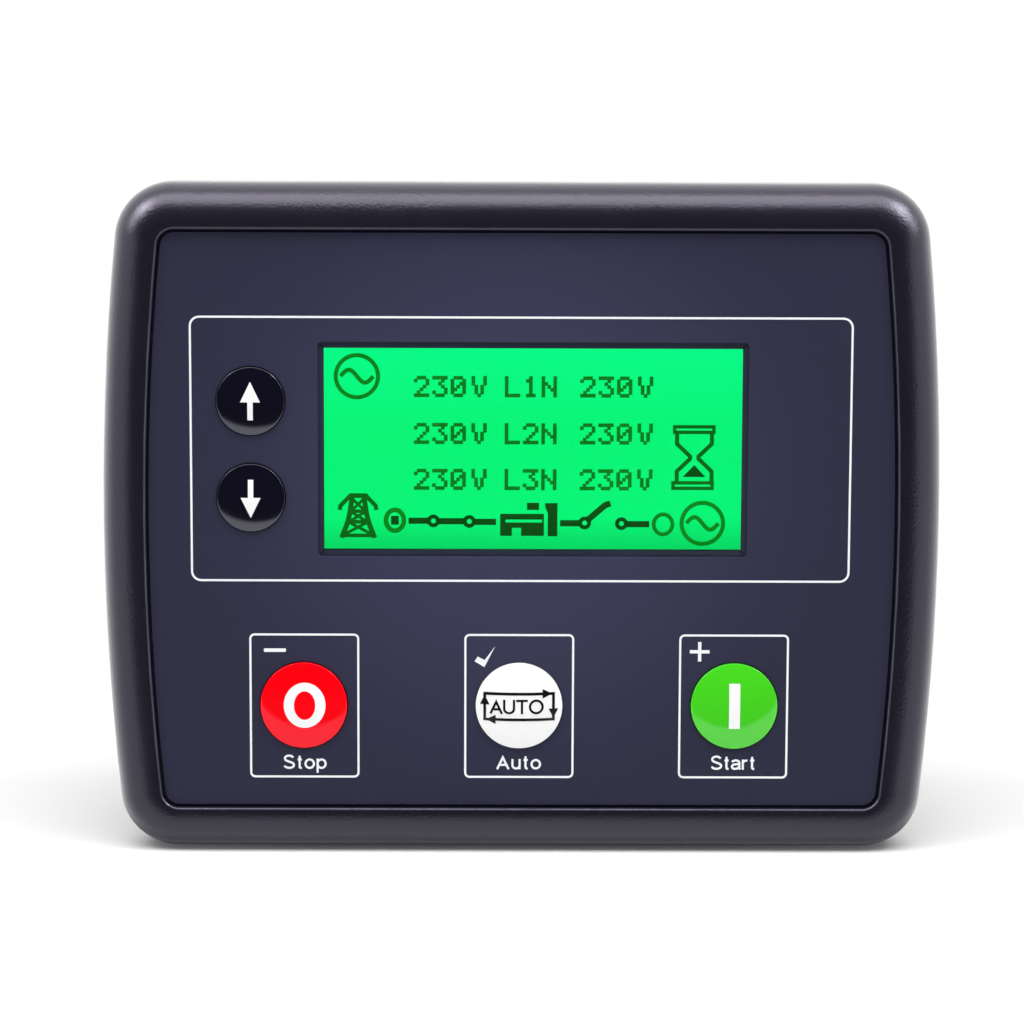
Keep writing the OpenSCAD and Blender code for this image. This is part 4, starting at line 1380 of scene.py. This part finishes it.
@dataclass
class Key:
    """One domed push key with its legend.

    Attributes:
        name: First part of its name.
        body: The body that it moves with.
        finish: Finish of the cap.
        slot: The record's slot of that finish.
        legend: Finish of the legend.
        flange: Width of the flange behind the face.
        flange_t: Thickness of the flange.
        behind: Depth of the flange's front behind the rim's.
        dome: Radius of the dome.
        stem: Radius of the stem.
        fillet: Rounding of the dome's edge.
        steps: Steps round the cap.
    """

    name: str
    body: Body
    finish: Finish
    slot: Slot
    legend: Finish
    flange: float = 1.2
    flange_t: float = 1.0
    behind: float = 3.5
    dome: float = 20.87
    stem: float = 2.2
    fillet: float = 0.07
    steps: int = 96

    def build(self) -> None:
        """Builds the cap and its legend."""
        low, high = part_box(f"{self.name}_key")
        x, z = middle_of(f"{self.name}_key")
        r = (high.x - low.x) / 2 / MM - self.flange
        top = low.y / MM
        self._cap(x, z, r, top, high.y / MM)
        drawing = Drawing()
        self.draw(drawing, x, z)
        dome = Dome(x, z, top, self.dome)
        drawing.lay(f"{self.name}_legend", dome, self.legend, self.body, self.slot, proud=0.05, sink=0.06)

    def _cap(self, x: float, z: float, r: float, top: float, back: float) -> None:
        """Turns the cap from its half section.

        Args:
            x: Middle, to the right.
            z: Middle, up.
            r: Radius of the straight side.
            top: Depth of the dome's top.
            back: Depth of the stem's end.
        """
        bm = bmesh.new()
        apex = bm.verts.new((x, top, z))
        reach = math.asin(r / self.dome)
        arc = bmesh.ops.spin(
            bm, geom=[apex], cent=(x, top + self.dome, z), axis=(0.0, 0.0, 1.0), dvec=(0.0, 0.0, 0.0),
            angle=reach, steps=20, use_merge=False, use_normal_flip=False, use_duplicate=False,
        )
        rim = next(part for part in arc["geom_last"] if isinstance(part, bmesh.types.BMVert))
        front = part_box("bezel")[0].y / MM + self.behind
        rear = front + self.flange_t
        wide = r + self.flange
        section = (
            (r, front), (wide, front), (wide, rear), (self.stem, rear), (self.stem, back), (0.0, back),
        )
        end = rim
        for out, y in section:
            end = bmesh.ops.extrude_vert_indiv(bm, verts=[end])["verts"][0]
            end.co = (x + out, y, z)
        bmesh.ops.bevel(
            bm, geom=[rim], offset=self.fillet, offset_type="OFFSET", segments=5, profile=0.5,
            affect="VERTICES", material=-1,
        )
        turn_round(bm, bm.verts[:] + bm.edges[:], x, z, self.steps)
        bmesh.ops.remove_doubles(bm, verts=bm.verts, dist=0.0005)
        bmesh.ops.recalc_face_normals(bm, faces=bm.faces)
        bmesh.ops.scale(bm, vec=(MM, MM, MM), verts=bm.verts)
        show(bm, f"{self.name}_cap", self.finish, self.body, self.slot, (f"{self.name}_key",), 30.0)

    def draw(self, drawing: Drawing, x: float, z: float) -> None:
        """Draws the legend round the key's middle."""
        raise NotImplementedError


@dataclass
class StopKey(Key):
    """The key with a round O.

    Attributes:
        outer: Outer half width and half height of the O.
        inner: Inner half width and half height.
        shift: Place of the O, from the key's middle.
    """

    outer: Point = (3.48, 3.82)
    inner: Point = (1.78, 2.42)
    shift: Point = (0.2, 0.2)

    def draw(self, drawing: Drawing, x: float, z: float) -> None:
        """Draws the O."""
        drawing.ring(x + self.shift[0], z + self.shift[1], self.outer, self.inner, 96)


@dataclass
class StartKey(Key):
    """The key with an upright bar.

    Attributes:
        bar: Width and height of the bar.
        shift: Height of the bar's middle above the key's.
    """

    bar: Point = (1.84, 7.65)
    shift: float = 0.2

    def draw(self, drawing: Drawing, x: float, z: float) -> None:
        """Draws the bar."""
        drawing.plate(x, z + self.shift, *self.bar, cuts=(4, 16))


@dataclass
class AutoKey(Key):
    """The key with a word in a loop of arrows.

    Attributes:
        half: Half width of the loop.
        up: Height of its upper line.
        down: Height of its lower line.
        line: Width of its lines.
        step: Length of the pieces in which a line follows the dome.
        head: Length and half width of an arrowhead.
        word: Left end, right end, base line and height of the word.
        weight: Width of its strokes.
    """

    half: float = 5.75
    up: float = 2.22
    down: float = -2.15
    line: float = 0.46
    step: float = 0.8
    head: Point = (1.6, 0.8)
    word: tuple[float, float, float, float] = (-4.98, 4.12, -1.15, 2.4)
    weight: float = 0.38

    def draw(self, drawing: Drawing, x: float, z: float) -> None:
        """Draws the loop, its arrowheads and the word.

        Args:
            drawing: The drawing.
            x: Middle of the key, to the right.
            z: Middle of the key, up.
        """
        length, wide = self.head
        corners = ((-1, self.down), (-1, self.up), (1, self.up), (1, self.down))
        tips = [Vector((x + side * self.half, z + height)) for side, height in corners]
        for i, start in enumerate(tips):
            end = tips[(i + 1) % 4]
            along = (end - start).normalized()
            across = Vector((-along.y, along.x))
            tip = end - along * (self.line / 2)
            neck = tip - along * length
            cuts = max(int((tip - start).length / self.step), 1)
            line = [start + (tip - start) * (k / cuts) for k in range(cuts + 1)]
            line[0] = start - along * (self.line / 2)
            drawing.stroke([tuple(point) for point in line], self.line, lift=LIFT)
            drawing.patch([tuple(p) for p in (neck + across * wide, neck - across * wide, tip)], 1)
        left, right, base, cap = self.word
        drawing.word("AUTO", x + left, x + right, z + base, cap, self.weight)


@dataclass
class ScrollKey(Key):
    """A key with an arrow.

    Attributes:
        way: 1 for an arrow that points up, -1 for one that points down.
        tip: Height of the arrow's tip above the key's middle.
        neck: Height of the arrowhead's base.
        tail: Height of the shaft's end.
        half: Half width of the arrowhead.
        shaft: Width of the shaft.
    """

    way: float = 1.0
    tip: float = 3.3
    neck: float = -0.1
    tail: float = -3.1
    half: float = 1.65
    shaft: float = 0.9

    def draw(self, drawing: Drawing, x: float, z: float) -> None:
        """Draws the arrow."""
        tip, neck, tail = (z + self.way * height for height in (self.tip, self.neck, self.tail))
        drawing.patch([(x - self.half, neck), (x + self.half, neck), (x, tip)], 4)
        drawing.plate(x, (neck + tail) / 2, self.shaft, abs(neck - tail), cuts=(2, 6))


@dataclass
class Rear:
    """The tub, its plugs, the data socket, the gasket and the panel clips.

    Attributes:
        tub_edge: Rounding of the tub's edges.
        clip_edge: Rounding of the clips' edges.
        plug_edge: Rounding of the plugs' edges.
        thin_edge: Rounding of the edges of the gasket and the data socket.
        screw_edge: Rounding of the terminal screws' edges.
        tongue: Half width and half height of the data socket's tongue.
    """

    tub_edge: float = 0.25
    clip_edge: float = 0.25
    plug_edge: float = 0.18
    thin_edge: float = 0.15
    screw_edge: float = 0.12
    tongue: Point = (2.81, 1.61)

    def build(self) -> None:
        """Builds the pieces behind the panel."""
        dress("rear_case", "rear_case_soft", TUB, Slot.TUB, self.tub_edge, most=4)
        for node, finish, slot, edge in (
            ("panel_gasket", RUBBER, Slot.GASKET, self.thin_edge),
            ("left_clip", CLIP, Slot.TUB, self.clip_edge),
            ("right_clip", CLIP, Slot.TUB, self.clip_edge),
            ("terminal_screws", STEEL, Slot.STEEL, self.screw_edge),
            *((f"{kind}_plug", PLUG, Slot.PLUG, self.plug_edge) for kind in TERMINALS),
        ):
            dress(node, f"{node}_soft", finish, slot, edge)
        self._socket()

    def _socket(self) -> None:
        """Builds the data socket, with a dark tongue in its steel mouth."""
        x, z = middle_of("usb_socket")
        socket = dress("usb_socket", "data_socket", STEEL, Slot.SOCKET, self.thin_edge)
        socket.data.materials.append(CHIP.material())
        for face in socket.data.polygons:
            inside = all(
                abs(socket.data.vertices[i].co.x / MM - x) < self.tongue[0]
                and abs(socket.data.vertices[i].co.z / MM - z) < self.tongue[1]
                for i in face.vertices
            )
            face.material_index = int(inside)


@dataclass
class ClampScrew:
    """A clip's screw with its thread.

    Attributes:
        node: The screw's CAD node.
        body: The body that it moves with.
        head: Thickness of its head.
        crest: Radius of the thread's crest.
        root: Radius of the thread's root.
        pitch: Pitch of the thread.
        tip: Length of the pointed tip.
        tip_r: Radius of the tip's end.
        bite: Overlap of the head, the core and the ridge.
        steps: Steps in a turn.
    """

    node: str
    body: Body
    head: float = 2.4
    crest: float = 1.98
    root: float = 1.6
    pitch: float = 0.8
    tip: float = 1.2
    tip_r: float = 1.0
    bite: float = 0.05
    steps: int = 24

    def build(self) -> None:
        """Builds the screw: its head from the solid, a turned core and a wound thread."""
        low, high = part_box(self.node)
        x, z = middle_of(self.node)
        start, end = low.y / MM, high.y / MM - self.head
        bm = cad_mesh(self.node)
        bmesh.ops.scale(bm, vec=(1 / MM,) * 3, verts=bm.verts)
        cut = bmesh.ops.bisect_plane(
            bm, geom=bm.verts[:] + bm.edges[:] + bm.faces[:], plane_co=(0.0, end + self.bite, 0.0),
            plane_no=(0.0, 1.0, 0.0), clear_inner=True,
        )
        rim = [part for part in cut["geom_cut"] if isinstance(part, bmesh.types.BMEdge)]
        bmesh.ops.contextual_create(bm, geom=rim)
        self._core(bm, x, z, start, end)
        self._thread(bm, x, z, start, end)
        bmesh.ops.recalc_face_normals(bm, faces=bm.faces)
        bmesh.ops.scale(bm, vec=(MM,) * 3, verts=bm.verts)
        show(bm, f"{self.node}_threaded", STEEL, self.body, Slot.STEEL, (self.node,), 35.0)

    def _core(self, bm: bmesh.types.BMesh, x: float, z: float, start: float, end: float) -> None:
        """Turns the core with its pointed tip.

        Args:
            bm: The screw's mesh.
            x: Place of the screw's line, to the right.
            z: Place of that line, up.
            start: Depth of the tip.
            end: Depth of the head.
        """
        last = end + 2 * self.bite
        section = (
            (0.0, start), (self.tip_r, start), (self.root, start + self.tip),
            (self.root, last), (0.0, last),
        )
        verts = [bm.verts.new((x + out, y, z)) for out, y in section]
        edges = [bm.edges.new(pair) for pair in zip(verts, verts[1:])]
        turn_round(bm, verts + edges, x, z, self.steps * 2)
        on_axis = [v for v in bm.verts if abs(v.co.x - x) < 0.001 and abs(v.co.z - z) < 0.001]
        bmesh.ops.remove_doubles(bm, verts=on_axis, dist=0.0005)

    def _thread(self, bm: bmesh.types.BMesh, x: float, z: float, start: float, end: float) -> None:
        """Winds the thread's ridge up the core.

        Args:
            bm: The screw's mesh.
            x: Place of the screw's line, to the right.
            z: Place of that line, up.
            start: Depth of the tip.
            end: Depth of the head.
        """
        first = start + self.tip
        turns = int((end - first) / self.pitch) - 1
        half = self.pitch * 0.46
        foot = self.root - self.bite
        corners = ((foot, first), (self.crest, first + half), (foot, first + 2 * half))
        verts = [bm.verts.new((x + out, y, z)) for out, y in corners]
        ridge = bm.faces.new(verts)
        edges = ridge.edges[:]
        bmesh.ops.delete(bm, geom=[ridge], context="FACES_ONLY")
        wound = bmesh.ops.spin(
            bm, geom=verts + edges, cent=(x, 0.0, z), axis=(0.0, 1.0, 0.0),
            dvec=(0.0, self.pitch / self.steps, 0.0), angle=2 * math.pi * turns, steps=self.steps * turns,
            use_merge=False, use_normal_flip=False, use_duplicate=False,
        )
        bm.faces.new(verts)
        bm.faces.new([part for part in wound["geom_last"] if isinstance(part, bmesh.types.BMVert)])


@dataclass
class Inside:
    """Pieces inside the housing, which keep their CAD shape.

    Attributes:
        finishes: Finish of each piece.
    """

    finishes: dict[str, Finish] = field(default_factory=lambda: {
        "display_backlight": DIFFUSER, "key_switches": SWITCH, "front_board": BOARD,
        "terminal_board": BOARD, "controller_chip": CHIP, "board_spacers": BRASS,
        "link_header": CHIP, "link_socket": CHIP,
        "board_screws": STEEL, "case_screws": STEEL, "generator_relay": RELAY, "mains_relay": RELAY,
        "capacitors": CAN, "supply_choke": CHIP, "header_pins": BRASS,
        **{f"{kind}_header": HEADER for kind in TERMINALS},
        **{f"{key}_plunger": CHIP for key in ("stop", "auto", "start", "up", "down")},
    })

    def build(self) -> None:
        """Dresses the pieces."""
        for name, finish in self.finishes.items():
            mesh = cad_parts[name].data
            mesh.materials.clear()
            mesh.materials.append(finish.material())
            log.info("%s: %s", name, finish.name)


@dataclass(frozen=True)
class Patch:
    """A round part of the room that gloss reflects at a level of its own.

    Attributes:
        lean: Elevation of its middle, in degrees from the front and up.
        half: Its half angle, in degrees.
        edge: Half width of its soft edge, in degrees.
        level: Its level.
        turn: Turn of its middle from the front to the right, in degrees.
    """

    lean: float
    half: float
    edge: float
    level: float
    turn: float = 0.0


@dataclass
class Studio:
    """A pale floor, soft light from all round and above, and the camera.

    Attributes:
        eye: Place of the camera.
        aim: Point that it looks at.
        roll: Turn of the camera round its line of sight, in degrees.
        lens: Focal length on a 36 mm sensor.
        fill: Level of the light from all round.
        lamp_width: Width of the overhead softbox.
        lamp_depth: Its size from front to back.
        lamp_height: Its height above the middle.
        lamp_ahead: Its distance in front of the panel.
        lamp_watts: Its power.
        room: Level of the room as gloss reflects it, outside the patches.
        floor_r: Radius of the floor.
        floor_drop: Distance of the floor under the object.
        fade: Distances from the middle between which the floor fades to white.
        patches: The lit backdrop, the unlit front, the shade under the object and the lamps at both sides,
            as gloss reflects them.
    """

    eye: tuple[float, float, float] = (-5.44, -581.63, 83.0)
    aim: tuple[float, float, float] = (-1.649, -10.0, 1.702)
    roll: float = 0.214
    lens: float = 122.22
    fill: float = 0.40
    lamp_width: float = 1.2
    lamp_depth: float = 0.34
    lamp_height: float = 0.55
    lamp_ahead: float = 0.19
    lamp_watts: float = 6.4
    room: float = 1.12
    floor_r: float = 1.6
    floor_drop: float = 0.0002
    fade: Point = (0.06, 0.26)
    patches: tuple[Patch, ...] = (
        Patch(180.0, 75.0, 20.0, 1.75), Patch(24.0, 54.5, 2.0, 0.02), Patch(-130.0, 36.0, 8.0, 0.45),
        Patch(-150.0, 14.0, 4.0, 0.04),
        Patch(40.0, 11.0, 7.0, 12.0, -70.0), Patch(41.0, 12.0, 7.0, 14.0, 70.0),
        Patch(24.0, 8.0, 7.0, 6.0, -76.0), Patch(25.0, 8.0, 7.0, 7.0, 76.0),
    )

    def build(self) -> None:
        """Sets up the studio."""
        scene = bpy.context.scene
        scene.view_settings.view_transform = "Standard"
        self._camera(scene)
        self._lamp(scene)
        self._room(scene)
        self._floor(scene)

    def _camera(self, scene: bpy.types.Scene) -> None:
        """Places the camera."""
        camera = bpy.data.cameras.new("camera")
        camera.lens = self.lens
        camera.sensor_width = 36.0
        camera.clip_start = 0.01
        holder = bpy.data.objects.new("camera", camera)
        eye, aim = Vector(self.eye) * MM, Vector(self.aim) * MM
        turn = (aim - eye).to_track_quat("-Z", "Y").to_matrix().to_4x4()
        roll = Matrix.Rotation(math.radians(self.roll), 4, "Z")
        holder.matrix_world = Matrix.Translation(eye) @ turn @ roll
        scene.collection.objects.link(holder)
        scene.camera = holder

    def _lamp(self, scene: bpy.types.Scene) -> None:
        """Hangs the softbox over the object."""
        lamp = bpy.data.lights.new("softbox", "AREA")
        lamp.shape = "RECTANGLE"
        lamp.size = self.lamp_width
        lamp.size_y = self.lamp_depth
        lamp.energy = self.lamp_watts
        holder = bpy.data.objects.new("softbox", lamp)
        holder.location = (0.0, -self.lamp_ahead, self.lamp_height)
        scene.collection.objects.link(holder)

    def _room(self, scene: bpy.types.Scene) -> None:
        """Makes the light from all round: white, with the patches that gloss reflects."""
        world = bpy.data.worlds.new("room")
        world.use_nodes = True
        scene.world = world
        tree = world.node_tree
        toward = add_node(tree, "ShaderNodeTexCoord").outputs["Generated"]
        room: object = self.room
        for patch in self.patches:
            lean, turn = math.radians(patch.lean), math.radians(patch.turn)
            facing = add_node(tree, "ShaderNodeVectorMath", operation="DOT_PRODUCT")
            tree.links.new(toward, facing.inputs[0])
            flat = math.cos(lean)
            middle = (flat * math.sin(turn), -flat * math.cos(turn), math.sin(lean))
            facing.inputs[1].default_value = middle
            outer, inner = (math.cos(math.radians(patch.half + way * patch.edge)) for way in (1.0, -1.0))
            inside = ranged(tree, facing.outputs["Value"], (outer, inner), (0.0, 1.0), True)
            room = self._pick(tree, inside, room, patch.level)
        path = add_node(tree, "ShaderNodeLightPath").outputs
        gloss = math_node(tree, "MAXIMUM", path["Is Glossy Ray"], path["Is Transmission Ray"])
        level = self._pick(tree, gloss, self.fill, room)
        level = self._pick(tree, path["Is Camera Ray"], level, 1.0)
        background = tree.nodes["Background"]
        background.inputs["Color"].default_value = (1.0, 1.0, 1.0, 1.0)
        tree.links.new(level, background.inputs["Strength"])

    @staticmethod
    def _pick(
        tree: bpy.types.NodeTree, choice: bpy.types.NodeSocket, off: object, on: object
    ) -> bpy.types.NodeSocket:
        """Picks one of two values.

        Args:
            tree: The tree that gets the node.
            choice: 0 for the first and 1 for the second.
            off: The first value.
            on: The second value.

        Returns:
            The picked value.
        """
        node = add_node(tree, "ShaderNodeMix", data_type="FLOAT")
        tree.links.new(choice, node.inputs["Factor"])
        for name, value in (("A", off), ("B", on)):
            feed(tree, node.inputs[name], value)
        return node.outputs["Result"]

    def _floor(self, scene: bpy.types.Scene) -> None:
        """Lays the floor, which fades to white away from the object."""
        bm = bmesh.new()
        bmesh.ops.create_circle(bm, cap_ends=True, segments=96, radius=self.floor_r)
        bmesh.ops.translate(bm, vec=(0.0, 0.0, CAD_BOX[0][2] - self.floor_drop), verts=bm.verts)
        mesh = bpy.data.meshes.new("floor")
        bm.to_mesh(mesh)
        bm.free()
        paper = bpy.data.materials.new("floor_paper")
        paper.use_nodes = True
        tree = paper.node_tree
        shader = tree.nodes["Principled BSDF"]
        shader.inputs["Roughness"].default_value = 0.9
        shader.inputs["Specular IOR Level"].default_value = 0.1
        surface = EffectGroups.place(tree, Effect.GRAIN, Size=0.004, Drift=0.004)
        tree.links.new(tinted(tree, (0.97, 0.97, 0.97), surface["Tone"]), shader.inputs["Base Color"])
        white = add_node(tree, "ShaderNodeEmission")
        blend = add_node(tree, "ShaderNodeMixShader")
        far = ranged(tree, away_from(tree, (0.0, 0.0, 0.0)), self.fade, (0.0, 1.0), True)
        tree.links.new(far, blend.inputs["Fac"])
        tree.links.new(shader.outputs["BSDF"], blend.inputs[1])
        tree.links.new(white.outputs["Emission"], blend.inputs[2])
        tree.links.new(blend.outputs["Shader"], tree.nodes["Material Output"].inputs["Surface"])
        mesh.materials.append(paper)
        floor = bpy.data.objects.new("floor", mesh)
        floor.visible_glossy = False
        floor.visible_transmission = False
        scene.collection.objects.link(floor)


def keys() -> Iterable[Key]:
    """Gives the five keys."""
    yield StopKey("stop", Body.STOP, RED, Slot.RED_KEY, LEGEND_WHITE)
    yield AutoKey("auto", Body.AUTO, WHITE, Slot.WHITE_KEY, LEGEND_BLACK)
    yield StartKey("start", Body.START, GREEN, Slot.GREEN_KEY, LEGEND_WHITE)
    yield ScrollKey("up", Body.UP, BLACK, Slot.BLACK_KEY, LEGEND_WHITE)
    yield ScrollKey("down", Body.DOWN, BLACK, Slot.BLACK_KEY, LEGEND_WHITE, way=-1.0)


def main() -> None:
    """Builds the sub-assemblies in order."""
    logging.basicConfig(level=logging.INFO, format="%(name)s %(message)s")
    Studio().build()
    Bezel().build()
    Fascia().build()
    Screen().build()
    for key in keys():
        key.build()
    Rear().build()
    for node, body in (("left_clip_screw", Body.LEFT_CLAMP), ("right_clip_screw", Body.RIGHT_CLAMP)):
        ClampScrew(node, body).build()
    Inside().build()


if __name__ == "__main__":
    main()
